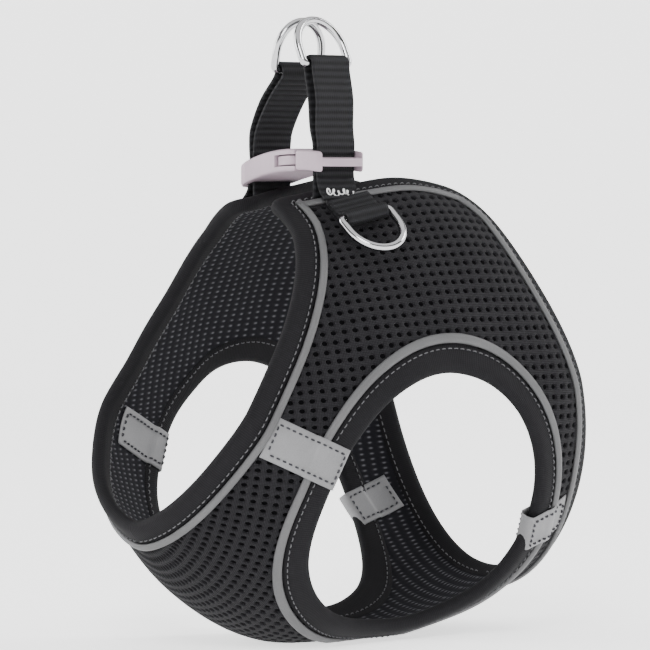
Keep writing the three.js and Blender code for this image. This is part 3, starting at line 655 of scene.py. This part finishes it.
def bevelled_profile(width, half, count=5):
    """Cross-section of a folded binding: rounded at the fold, open at the seam."""
    points = []
    for a in np.linspace(-np.pi / 2, np.pi / 2, 9):
        points.append((0.9 * half * (1 - np.cos(a)), 0.93 * half * np.sin(a)))
    for f in np.linspace(0.42, 1.0, count):
        points.append((width * f, half * (0.97 - 0.30 * f ** 3)))
    points.append((width + 0.2, 1.0))
    points.append((width + 0.2, -1.0))
    for f in np.linspace(1.0, 0.42, count):
        points.append((width * f, -half * (0.97 - 0.30 * f ** 3)))
    return points


BINDING_PROFILE = bevelled_profile(BINDING_WIDTH, BINDING_HALF)


def dashes(name, line, normals, length, pitch, radius, material_, skip_ends=0.0):
    """A row of stitches: short rods along a line."""
    along = np.concatenate([[0], np.cumsum(np.linalg.norm(np.diff(line, axis=0), axis=1))])
    starts = np.arange(skip_ends + pitch / 2, along[-1] - length - skip_ends, pitch)
    points, faces = [], []
    ring = 6
    for start in starts:
        at = start + np.linspace(0, length, 5)
        path = np.stack([np.interp(at, along, line[:, k]) for k in range(3)], -1)
        normal = np.stack([np.interp(at, along, normals[:, k]) for k in range(3)], -1)
        bow = np.array([-0.25, 0.15, 0.25, 0.15, -0.25])
        path = path + normal * bow[:, None]
        rows = tube_rows(path, radius, ring, normals=normal)
        base = len(points)
        points.extend(rows.reshape(-1, 3))
        for i in range(4):
            for k in range(ring):
                l = (k + 1) % ring
                faces.append((base + i * ring + k, base + (i + 1) * ring + k, base + (i + 1) * ring + l,
                              base + i * ring + l))
        faces.append(tuple(base + k for k in range(ring)))
        faces.append(tuple(base + 4 * ring + k for k in reversed(range(ring))))
    return make(name, np.array(points), faces, material_)


def line_on(kind, w, h, side):
    rows = edge_rows([(w, h), (w, h + 1)], side) if kind == "edge" else leg_rows([(w, h), (w, h + 1)], side)
    if kind == "leg":
        rows = np.concatenate([rows, rows[:1]])
    line = rows[:, 0]
    normal = rows[:, 1] - rows[:, 0]
    normal /= np.linalg.norm(normal, axis=1, keepdims=True)
    return line, normal


def piping_profile():
    points = []
    for a in np.linspace(0, 2 * np.pi, 12, endpoint=False):
        points.append((PIPING_CENTRE + 1.6 * np.cos(a), FABRIC_HALF + 0.7 + 1.0 * np.sin(a)))
    return points


TAPE_HALF, TAPE_THICK, TAPE_FOLD = 8.2, 0.35, 1.9
TAPE_STITCH_INSET, TAPE_STITCH, TAPE_PITCH = 2.3, 1.1, 2.7


def tape(name, angle, edge_s, edge_t, side, node):
    """Reflective tape from an outer edge's piping, round the leg opening's edge, and back inside."""
    s0, t0 = leg_hit(np.array([angle]), 0.3)
    a = base_surface(s0[0], t0[0])
    b = base_surface(np.array(edge_s), np.array(edge_t))
    direction = unit(b - a)
    length = np.linalg.norm(b - a) - 12.2
    widths = np.linspace(-TAPE_HALF, TAPE_HALF, 13)
    distance = np.concatenate([np.linspace(length, length - 1.4, 4), np.linspace(length - 2.2, 1.0, 24)])
    s, t = slide(np.full(len(distance), s0[0]), np.full(len(distance), t0[0]), direction, distance, 8)
    normal = tangents(s, t)[2]
    across = np.cross(direction, normal)
    across /= np.linalg.norm(across, axis=1, keepdims=True)
    binding = BINDING_HALF + 0.45
    past = smooth((distance - 8.6) / 1.6)
    outer = binding * (1 - past) + past * (FABRIC_HALF + 2.15)
    past = smooth((distance - 12.8) / 2.0)
    outer = outer * (1 - past) + past * (FABRIC_HALF + 0.5)
    past = smooth((distance - 8.6) / 1.6)
    inner = binding * (1 - past) + past * (FABRIC_HALF + 0.45)
    turn = np.linspace(0, np.pi, 9)[1:-1]
    columns = []
    for w in widths:
        p, q = slide(s, t, across, np.full(len(distance), w))
        front, back = lift(p, q, outer), lift(p, q, -inner)
        out = unit(front[-1] - front[-2])
        middle, half = (front[-1] + back[-1]) / 2, (front[-1] - back[-1]) / 2
        fold = np.array([middle + half * math.cos(k) + out * (TAPE_FOLD * math.sin(k)) for k in turn])
        columns.append(np.concatenate([front, fold, back[::-1]]))
    rows = np.stack(columns, 1)
    rows[..., 0] *= side
    along = np.concatenate([[0], np.cumsum(np.linalg.norm(np.diff(rows[:, 6], axis=0), axis=1))])
    obj = band(name, rows, TAPE, False, closed_round=False, along=along)
    bm = bmesh.new()
    bm.from_mesh(obj.data)
    bmesh.ops.solidify(bm, geom=list(bm.faces), thickness=TAPE_THICK * MM)
    bmesh.ops.recalc_face_normals(bm, faces=bm.faces)
    bm.to_mesh(obj.data)
    bm.free()
    soft(obj, side, node, slot="reflective")
    inset = TAPE_HALF - TAPE_STITCH_INSET
    far, near = length - 2.0, 1.2
    corners = [(far, -inset), (near, -inset), (near, inset), (far, inset), (far, -inset)]
    path, _ = resample(np.array(corners), np.array(corners), 0.6)
    order = np.argsort(distance)
    p = np.interp(path[:, 0], distance[order], s[order])
    q = np.interp(path[:, 0], distance[order], t[order])
    heading = np.stack([np.interp(path[:, 0], distance[order], across[order, k]) for k in range(3)], -1)
    p, q = slide(p, q, heading, path[:, 1])
    for face, heights in (("outer", outer[order]), ("inner", -inner[order])):
        level = np.interp(path[:, 0], distance[order], heights)
        sign = 1 if face == "outer" else -1
        line, above = lift(p, q, level + sign * 0.3), lift(p, q, level + sign * 1.3)
        up = above - line
        up /= np.linalg.norm(up, axis=1, keepdims=True)
        line[:, 0] *= side
        up[:, 0] *= side
        stitches = dashes(f"{name}_{face}_stitches", line, up, TAPE_STITCH, TAPE_PITCH, 0.34,
                          THREAD_DARK, 0.4)
        soft(stitches, side, slot="webbing")
    return obj


for side, word in SIDES.items():
    strip = ["belly_panel"] if side == 1 else []
    cloth = hole_cloth(f"{word}_outer_mesh", side, FABRIC_HALF - 0.1, KNIT)
    soft(cloth, side, f"{word}_side_panel", *strip, slot="mesh_fabric")
    core = plain_cloth(f"{word}_spacer_yarn", side, FABRIC_HALF - 1.0, DARK)
    soft(core, side, slot="mesh_fabric")
    lining = plain_cloth(f"{word}_lining", side, -FABRIC_HALF + 0.2, LINING)
    soft(lining, side, slot="mesh_fabric")

    rows = edge_rows(BINDING_PROFILE, side)
    nodes = [f"{word}_edge_binding"] + (["neck_binding", "hem_binding"] if side == 1 else [])
    soft(band(f"{word}_edge_binding_tape", rows, BINDING, False, along=EDGE_ALONG, caps=False),
         side, *nodes, slot="binding")
    rows = leg_rows(BINDING_PROFILE, side)
    soft(band(f"{word}_leg_binding_tape", rows, BINDING, True, along=LEG_ALONG_MM), side,
         f"{word}_leg_binding", slot="binding")
    rows = edge_rows(piping_profile(), side)
    nodes = [f"{word}_edge_piping"] + (["neck_piping", "hem_piping"] if side == 1 else [])
    soft(band(f"{word}_edge_piping_cord", rows, PIPING, False, along=EDGE_ALONG, caps=False),
         side, *nodes, slot="reflective")
    rows = leg_rows(piping_profile(), side)
    soft(band(f"{word}_leg_piping_cord", rows, PIPING, True, along=LEG_ALONG_MM), side,
         f"{word}_leg_piping", slot="reflective")
    for kind in ("edge", "leg"):
        for face, h in (("outer", 2.55), ("inner", -2.55)):
            line, normal = line_on(kind, 7.6, h, side)
            stitches = dashes(f"{word}_{kind}_{face}_stitches", line, normal if h > 0 else -normal,
                              1.6, 2.9, 0.22, THREAD_GREY)
            soft(stitches, side, slot="binding")
    tape(f"{word}_front_tape_strip", math.pi * 0.955, 0.468, 0.0, side, f"{word}_front_tape")
    tape(f"{word}_rear_tape_strip", -math.pi * 0.01, 0.305, 1.0, side, f"{word}_rear_tape")


# ---------------------------------------------------------------- straps
def strap_path(side):
    """Centre line of a strap loop in x and z: up the inner layer, over the bar, down the outer."""
    bar_x, bar_z = RING_BAR[side]
    r = RING_WIRE / 2 + 0.25 + WEBBING_THICK / 2
    inner_x, outer_x = STRAP_X - 1.0, STRAP_X + 1.0
    left = [(inner_x - 0.4, 174.0), (inner_x, 182.0), (inner_x, 190.0), (inner_x - 0.3, 197.0),
            (inner_x - 2.2, 204.0), ((inner_x + bar_x) / 2 - 1.6, 215.0), (bar_x - r + 0.2, bar_z - 3.0)]
    over = [(bar_x + r * math.cos(a), bar_z + r * math.sin(a))
            for a in np.linspace(math.pi * 0.95, 0.05 * math.pi, 7)]
    right = [(bar_x + r + 0.3, bar_z - 3.0), ((outer_x + bar_x) / 2 + 2.4, 215.0), (outer_x - 0.4, 204.0),
             (outer_x + 0.5, 197.0), (outer_x, 190.0), (outer_x + 0.2, 184.0), (outer_x + 1.9, 179.0),
             (outer_x + 5.0, 175.5)]
    return np.array(left + over + right)


def spline(points, spacing):
    points = np.asarray(points, float)
    out = []
    padded = np.concatenate([[2 * points[0] - points[1]], points, [2 * points[-1] - points[-2]]])
    for i in range(len(points) - 1):
        p0, p1, p2, p3 = padded[i:i + 4]
        for f in np.linspace(0, 1, 12, endpoint=False):
            out.append(0.5 * (2 * p1 + (p2 - p0) * f + (2 * p0 - 5 * p1 + 4 * p2 - p3) * f ** 2
                              + (3 * p1 - p0 - 3 * p2 + p3) * f ** 3))
    out.append(points[-1])
    out = np.array(out)
    return resample(out, out, spacing)


def strap(side):
    word = SIDES[side]
    path, along = spline(strap_path(side), 0.6)
    tangent = np.gradient(path, axis=0)
    tangent /= np.linalg.norm(tangent, axis=1, keepdims=True)
    normal = np.stack([-tangent[:, 1], tangent[:, 0]], -1)
    half_w, half_t = WEBBING / 2, WEBBING_THICK / 2
    profile = []
    for a in np.linspace(-np.pi / 2, np.pi / 2, 7):
        profile.append((half_w - half_t * (1 - np.cos(a)) * 0.8, half_t * np.sin(a)))
    for y in np.linspace(half_w - 1.2, -half_w + 1.2, 15):
        profile.append((y, half_t))
    for a in np.linspace(np.pi / 2, -np.pi / 2, 7):
        profile.append((-half_w + half_t * (1 - np.cos(a)) * 0.8, half_t * np.sin(a)))
    for y in np.linspace(-half_w + 1.2, half_w - 1.2, 15):
        profile.append((y, -half_t))
    rib = 0.2 * np.sin(along * 2 * np.pi / 2.8)
    rows = []
    for y, h in profile:
        edge_fade = smooth((half_w - abs(y)) / 1.6)
        lifted = h + np.sign(h) * rib * edge_fade
        point = path + normal * lifted[:, None]
        rows.append(np.stack([side * point[:, 0], np.full(len(path), STRAP_Y + y), point[:, 1]], -1))
    obj = band(f"{word}_strap_webbing_rib_highlights", np.stack(rows, 1), WEB, False, along=along)
    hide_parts(f"{word}_strap")
    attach(obj, f"{word}_side")
    # Bar tack where the strap is sewn to the flap: loose curls of thread.
    line = []
    for f in np.linspace(0, 1, 150):
        turn = f * 2 * math.pi * 5.5 + 0.9 * math.sin(f * 17)
        size = 0.75 + 0.45 * math.sin(f * 23 + 1)
        line.append((STRAP_X + 4.9 - 0.9 * size * math.sin(turn) * 0.5,
                     STRAP_Y - 6.6 + 13.2 * f + 1.0 * size * math.cos(turn),
                     178.2 + 1.3 * size * math.sin(turn)))
    line = np.array(line)
    line[:, 0] *= side
    normals = np.tile(unit((side, 0, 0.6)), (len(line), 1))
    tack = band(f"{word}_strap_zigzag", tube_rows(line, 0.3, 6, normals=normals), THREAD_WHITE, False)
    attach(tack, f"{word}_side")


for side in SIDES:
    strap(side)


# ---------------------------------------------------------------- rings
def ring_path():
    half, bow = RING_WIDTH / 2 - RING_WIRE / 2, RING_HEIGHT - RING_WIRE / 2
    right = [(0.0, 0.0), (half * 0.5, 0.0), (half - 1.3, 0.0), (half - 0.35, 0.45), (half, 1.7), (half, 4.6),
             (half, 6.4)]
    arc = [(half * math.cos(a), 6.4 + (bow - 6.4) * math.sin(a)) for a in np.linspace(0, np.pi, 18)[1:-1]]
    left = [(-x, y) for x, y in right[::-1]]
    path, _ = spline(np.array(right + arc + left), 0.7)
    return path[:-1]


def ring(name, origin, x_axis, y_axis, body, node):
    path = ring_path()
    x_axis, y_axis = np.asarray(x_axis, float), np.asarray(y_axis, float)
    z_axis = np.cross(x_axis, y_axis)
    line = np.asarray(origin, float) + path[:, :1] * x_axis + path[:, 1:] * y_axis
    rows = tube_rows(line, RING_WIRE / 2, 16, closed=True, normals=np.tile(z_axis, (len(line), 1)))
    weld = np.exp(-((path[:, 0] / 0.9) ** 2)) * (path[:, 1] < 1)
    rows = line[:, None] + (rows - line[:, None]) * (1 + 0.10 * weld[:, None, None])
    obj = band(name, rows, CHROME, True)
    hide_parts(node)
    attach(obj, body)
    return obj


for side, word in SIDES.items():
    lean = math.radians(RING_LEAN[side])
    x, z = RING_BAR[side]
    ring(f"{word}_top_dring", (side * x, STRAP_Y, z), (0, side, 0),
         (-side * math.sin(lean), 0, math.cos(lean)), f"{word}_top_ring", f"{word}_top_ring")

# The side ring's tab: the same place as in the frame.
TAB_S, TAB_T = 0.856, 0.318
TILT, SWING = math.radians(8), math.radians(4)
tab_point = base_surface(np.array(TAB_S), np.array(TAB_T))
tab_ds, _, tab_normal = tangents(np.array(TAB_S), np.array(TAB_T))
tab_down = unit(-tab_ds)
tab_along = unit(np.cross(tab_down, tab_normal))
if tab_along[1] < 0:
    tab_along = -tab_along
tab_x = unit(tab_along * math.cos(TILT) - tab_down * math.sin(TILT))
tab_y = unit(np.cross(tab_x, tab_normal))
if tab_y[2] > 0:
    tab_y = -tab_y
SIDE_LIFT = FABRIC_HALF + 0.3 + WEBBING_THICK + 0.45 + RING_WIRE / 2 + 0.9
side_bar = tab_point + tab_normal * SIDE_LIFT


def mirror(v, side):
    return np.asarray(v, float) * np.array([side, 1, 1])


def side_ring(side):
    word = SIDES[side]
    down = unit(tab_y * math.cos(SWING) + tab_normal * math.sin(SWING))
    ring(f"{word}_side_dring", mirror(side_bar, side), mirror(tab_x, side), mirror(down, side),
         f"{word}_side_ring", f"{word}_side_ring")
    # Webbing tab: a flat foot sewn to the panel, folded round the bar.
    r = RING_WIRE / 2 + 0.25 + WEBBING_THICK / 2
    floor = -SIDE_LIFT + FABRIC_HALF + 0.9
    turn = [(r * math.cos(a), r * math.sin(a)) for a in np.linspace(-0.62 * np.pi, 0.62 * np.pi, 13)]
    path = [(-12.5, floor - 0.4), (-8.5, floor), (-4.5, floor + 0.4)] + turn
    path += [(-3.6, floor + 2.6), (-6.5, floor + 1.7), (-9.6, floor + 1.45), (-12.5, floor + 1.0)]
    path, along = spline(np.array(path), 0.6)
    tangent = np.gradient(path, axis=0)
    tangent /= np.linalg.norm(tangent, axis=1, keepdims=True)
    normal = np.stack([-tangent[:, 1], tangent[:, 0]], -1)
    half_w, half_t = 9.3, 0.65
    rib = 0.12 * np.sin(along * 2 * np.pi / 2.8)
    rows = []
    profile = [(y, half_t) for y in np.linspace(-half_w, half_w, 13)]
    profile += [(half_w + 0.25, 0.0)] + [(y, -half_t) for y in np.linspace(half_w, -half_w, 13)]
    profile += [(-half_w - 0.25, 0.0)]
    for y, h in profile:
        p = path + normal * (h + np.sign(h) * rib * smooth((half_w - abs(y)) / 1.2))[:, None]
        point = side_bar + p[:, :1] * tab_y + p[:, 1:] * tab_normal + y * tab_x
        rows.append(mirror(point, side))
    obj = band(f"{word}_ring_tab_webbing", np.stack(rows, 1), WEB, False, along=along)
    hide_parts(f"{word}_ring_tab")
    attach(obj, f"{word}_side")


for side in SIDES:
    side_ring(side)


# ---------------------------------------------------------------- buckle
def arch(x):
    return 2.0 - 0.0043 * (x - 12.0) ** 2


def plate(name, outline, z0, z1, bevel, cuts=()):
    bm = bmesh.new()
    bottom = [bm.verts.new((x * MM, y * MM, z0 * MM)) for x, y in outline]
    bm.faces.new(bottom)
    result = bmesh.ops.extrude_face_region(bm, geom=list(bm.faces))
    moved = [v for v in result["geom"] if isinstance(v, bmesh.types.BMVert)]
    bmesh.ops.translate(bm, verts=moved, vec=(0, 0, (z1 - z0) * MM))
    bmesh.ops.recalc_face_normals(bm, faces=bm.faces)
    rim = [e for e in bm.edges if abs(e.verts[0].co.z - e.verts[1].co.z) < 1e-7]
    if bevel:
        bmesh.ops.bevel(bm, geom=rim, offset=bevel * MM, segments=4, profile=0.6, affect="EDGES")
    mesh = bpy.data.meshes.new(name)
    bm.to_mesh(mesh)
    bm.free()
    obj = bpy.data.objects.new(name, mesh)
    bpy.context.collection.objects.link(obj)
    for k, (x0, x1, y0, y1, a, b) in enumerate(cuts):
        cut_bm = bmesh.new()
        bmesh.ops.create_cube(cut_bm, size=1.0)
        for v in cut_bm.verts:
            v.co = Vector(((x0 + x1) / 2 + v.co.x * (x1 - x0), (y0 + y1) / 2 + v.co.y * (y1 - y0),
                           (a + b) / 2 + v.co.z * (b - a))) * MM
        cut_mesh = bpy.data.meshes.new(f"cut_{k}")
        cut_bm.to_mesh(cut_mesh)
        cut_bm.free()
        tool = bpy.data.objects.new(f"cut_{k}", cut_mesh)
        bpy.context.collection.objects.link(tool)
        modifier = obj.modifiers.new("cut", "BOOLEAN")
        modifier.operation, modifier.object, modifier.solver = "DIFFERENCE", tool, "EXACT"
        graph = bpy.context.evaluated_depsgraph_get()
        new_mesh = bpy.data.meshes.new_from_object(obj.evaluated_get(graph))
        obj.modifiers.clear()
        old = obj.data
        obj.data = new_mesh
        bpy.data.meshes.remove(old)
        bpy.data.objects.remove(tool)
        bpy.data.meshes.remove(cut_mesh)
    return obj


def settle_plate(obj, body, node, soften=0.35):
    """Rounds the cut edges, bends the plate to the buckle's arch, and puts it in place."""
    bm = bmesh.new()
    bm.from_mesh(obj.data)
    bmesh.ops.remove_doubles(bm, verts=bm.verts, dist=1e-6)
    bmesh.ops.dissolve_limit(bm, angle_limit=0.01, verts=bm.verts, edges=bm.edges)
    if soften:
        sharp = [e for e in bm.edges if e.is_manifold and e.calc_face_angle(0) > 0.9]
        bmesh.ops.bevel(bm, geom=sharp, offset=soften * MM, segments=2, profile=0.6, affect="EDGES",
                        clamp_overlap=True)
    for x in np.arange(-27, 28, 1.5):
        geom = list(bm.verts) + list(bm.edges) + list(bm.faces)
        bmesh.ops.bisect_plane(bm, geom=geom, plane_co=(x * MM, 0, 0), plane_no=(1, 0, 0))
    for v in bm.verts:
        v.co.z += arch(v.co.x / MM) * MM + BUCKLE_Z * MM
        v.co.y += (STRAP_Y - REST_Y) * MM
    bmesh.ops.triangulate(bm, faces=[f for f in bm.faces if len(f.verts) > 4])
    bmesh.ops.recalc_face_normals(bm, faces=bm.faces)
    bm.to_mesh(obj.data)
    bm.free()
    obj.data.polygons.foreach_set("use_smooth", [True] * len(obj.data.polygons))
    obj.data.set_sharp_from_angle(angle=math.radians(35))
    obj.data.materials.clear()
    obj.data.materials.append(PLASTIC)
    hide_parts(node)
    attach(obj, body)
    return obj


MOUTH = 13.0
SLOT = (2.45, 9.9)


def both_halves(half):
    """Completes an outline that is the same on both sides of y = 0."""
    return half + [(x, -y) for x, y in reversed(half)]


shell_outline = both_halves([(-27.5, -6.5), (-26.9, -9.4), (-25.0, -11.3), (-21.0, -12.4), (-16.0, -12.9),
                             (-10.0, -13.3), (-3.0, -13.8), (3.0, -14.0), (9.0, -13.9), (MOUTH, -13.5)])
shell = plate("buckle_female_body", shell_outline, -4.5, 4.5, 1.5, cuts=[
    (-STRAP_X - SLOT[0], -STRAP_X + SLOT[0], -SLOT[1], SLOT[1], -9, 9),
    (-14.5, 20, -11.4, 11.4, -2.9, 2.9),
    (0.5, 20, -20, 20, -2.3, 2.3)])
settle_plate(shell, "right_side", "buckle_female_shell")
base_outline = both_halves([(MOUTH + 0.4, -13.3), (17.0, -13.1), (21.0, -12.2), (25.0, -11.4),
                            (26.9, -9.4), (27.5, -6.5)])
base = plate("buckle_male_body", base_outline, -4.0, 4.0, 1.3, cuts=[
    (STRAP_X - SLOT[0], STRAP_X + SLOT[0], -SLOT[1], SLOT[1], -9, 9),
    (STRAP_X - SLOT[0], 40, -SLOT[1], SLOT[1], 1.6, 9),
    (STRAP_X - SLOT[0], 40, -SLOT[1], SLOT[1], -9, -1.6)])
settle_plate(base, "left_side", "buckle_male_base")
tongue_outline = both_halves([(-2.5, -2.2), (-1.2, -3.3), (MOUTH + 1.5, -3.3)])
tongue = plate("buckle_guide_tongue", tongue_outline, -1.3, 1.3, 0.4)
settle_plate(tongue, "left_side", "buckle_male_base", 0)
for side, word in ((-1, "front"), (1, "rear")):
    arm = [(12.8, 6.2), (12.8, 9.6), (11.4, 12.0), (9.5, 13.1), (6.8, 13.4), (3.6, 13.2), (1.6, 12.8),
           (0.6, 11.6), (-0.6, 11.0), (-1.5, 9.9), (0.2, 8.5), (4.0, 7.8), (7.8, 7.5)]
    outline = [(x, side * y) for x, y in arm]
    if side > 0:
        outline.reverse()
    piece = plate(f"buckle_{word}_prong_arm", outline, -1.9, 1.9, 0.4)
    settle_plate(piece, f"{word}_prong", f"buckle_{word}_prong", 0)


# ---------------------------------------------------------------- stage, light, camera
def stage():
    """A pale round floor whose far rim rises softly, so no horizon shows."""
    turn = np.linspace(0, np.pi / 2, 9)
    profile = [(0.0, 0.0), (0.6, 0.0), (1.4, 0.0), (2.2, 0.0)]
    profile += [(2.2 + 1.2 * math.sin(a), 1.2 - 1.2 * math.cos(a)) for a in turn[1:]]
    mesh = bpy.data.meshes.new("floor")
    around = 96
    points, faces = [(0.0, 0.0, 0.0)], []
    for r, z in profile[1:]:
        for a in np.linspace(0, 2 * np.pi, around, endpoint=False):
            points.append((r * math.cos(a), r * math.sin(a), z))
    for k in range(around):
        faces.append((0, 1 + k, 1 + (k + 1) % around))
        for i in range(len(profile) - 2):
            low, high = 1 + i * around, 1 + (i + 1) * around
            faces.append((low + k, high + k, high + (k + 1) % around, low + (k + 1) % around))
    mesh.from_pydata(points, [], faces)
    mesh.polygons.foreach_set("use_smooth", [True] * len(mesh.polygons))
    floor = bpy.data.objects.new("floor", mesh)
    floor.location.z = -0.0004
    bpy.context.collection.objects.link(floor)
    mat, _, _, shader = material("pale_floor", (0.95, 0.95, 0.95), 0.9)
    shader.inputs["Emission Color"].default_value = (1, 1, 1, 1)
    shader.inputs["Emission Strength"].default_value = 1.3
    mesh.materials.append(mat)


def area_light(name, where, size, power, aim=(0, 0, 0.1)):
    data = bpy.data.lights.new(name, "AREA")
    data.shape, data.size, data.energy = "DISK", size, power
    obj = bpy.data.objects.new(name, data)
    obj.location = where
    obj.rotation_euler = (Vector(aim) - Vector(where)).to_track_quat("-Z", "Y").to_euler()
    bpy.context.collection.objects.link(obj)


stage()
area_light("key", (1.5, -1.6, 1.9), 1.2, 48)
area_light("fill", (-1.6, -1.3, 1.0), 1.4, 28)
area_light("rim", (0.7, 1.9, 1.6), 1.0, 30)
world = bpy.data.worlds.new("studio")
bpy.context.scene.world = world
world.use_nodes = True
world_nodes, world_links = world.node_tree.nodes, world.node_tree.links
direction = world_nodes.new("ShaderNodeTexCoord")
split = world_nodes.new("ShaderNodeSeparateXYZ")
world_links.new(direction.outputs["Generated"], split.inputs[0])
height = math_node(world_nodes, world_links, "ADD",
                   math_node(world_nodes, world_links, "MULTIPLY", split.outputs[2], 0.5), 0.5)
studio = ramp(world_nodes, world_links, height, [
    (0.0, (0.9, 0.9, 0.9)), (0.46, (0.85, 0.85, 0.85)), (0.56, (1.3, 1.3, 1.3)), (0.66, (1.3, 1.3, 1.3)),
    (0.72, (0.12, 0.12, 0.12)), (0.84, (0.10, 0.10, 0.10)), (0.90, (1.6, 1.6, 1.6)), (1.0, (1.6, 1.6, 1.6))])
background = world_nodes["Background"]
world_links.new(studio, background.inputs["Color"])
background.inputs["Strength"].default_value = 0.9
seen = world_nodes.new("ShaderNodeBackground")
seen.inputs["Color"].default_value = (1, 1, 1, 1)
seen.inputs["Strength"].default_value = 3.0
path_kind = world_nodes.new("ShaderNodeLightPath")
mixer = world_nodes.new("ShaderNodeMixShader")
world_links.new(path_kind.outputs["Is Camera Ray"], mixer.inputs[0])
world_links.new(background.outputs[0], mixer.inputs[1])
world_links.new(seen.outputs[0], mixer.inputs[2])
world_links.new(mixer.outputs[0], world_nodes["World Output"].inputs["Surface"])

AZIMUTH, ELEVATION, DISTANCE = math.radians(52), math.radians(2), 1.6
TARGET = Vector((0, 0.0009, 0.1252))
camera_data = bpy.data.cameras.new("camera")
camera_data.sensor_width = 36
camera_data.lens = 36 * DISTANCE / 0.260
camera_data.clip_end = 50
camera = bpy.data.objects.new("camera", camera_data)
back = Vector((math.sin(AZIMUTH) * math.cos(ELEVATION), -math.cos(AZIMUTH) * math.cos(ELEVATION),
               math.sin(ELEVATION)))
camera.location = TARGET + back * DISTANCE
camera.rotation_euler = (-back).to_track_quat("-Z", "Y").to_euler()
bpy.context.collection.objects.link(camera)
bpy.context.scene.camera = camera
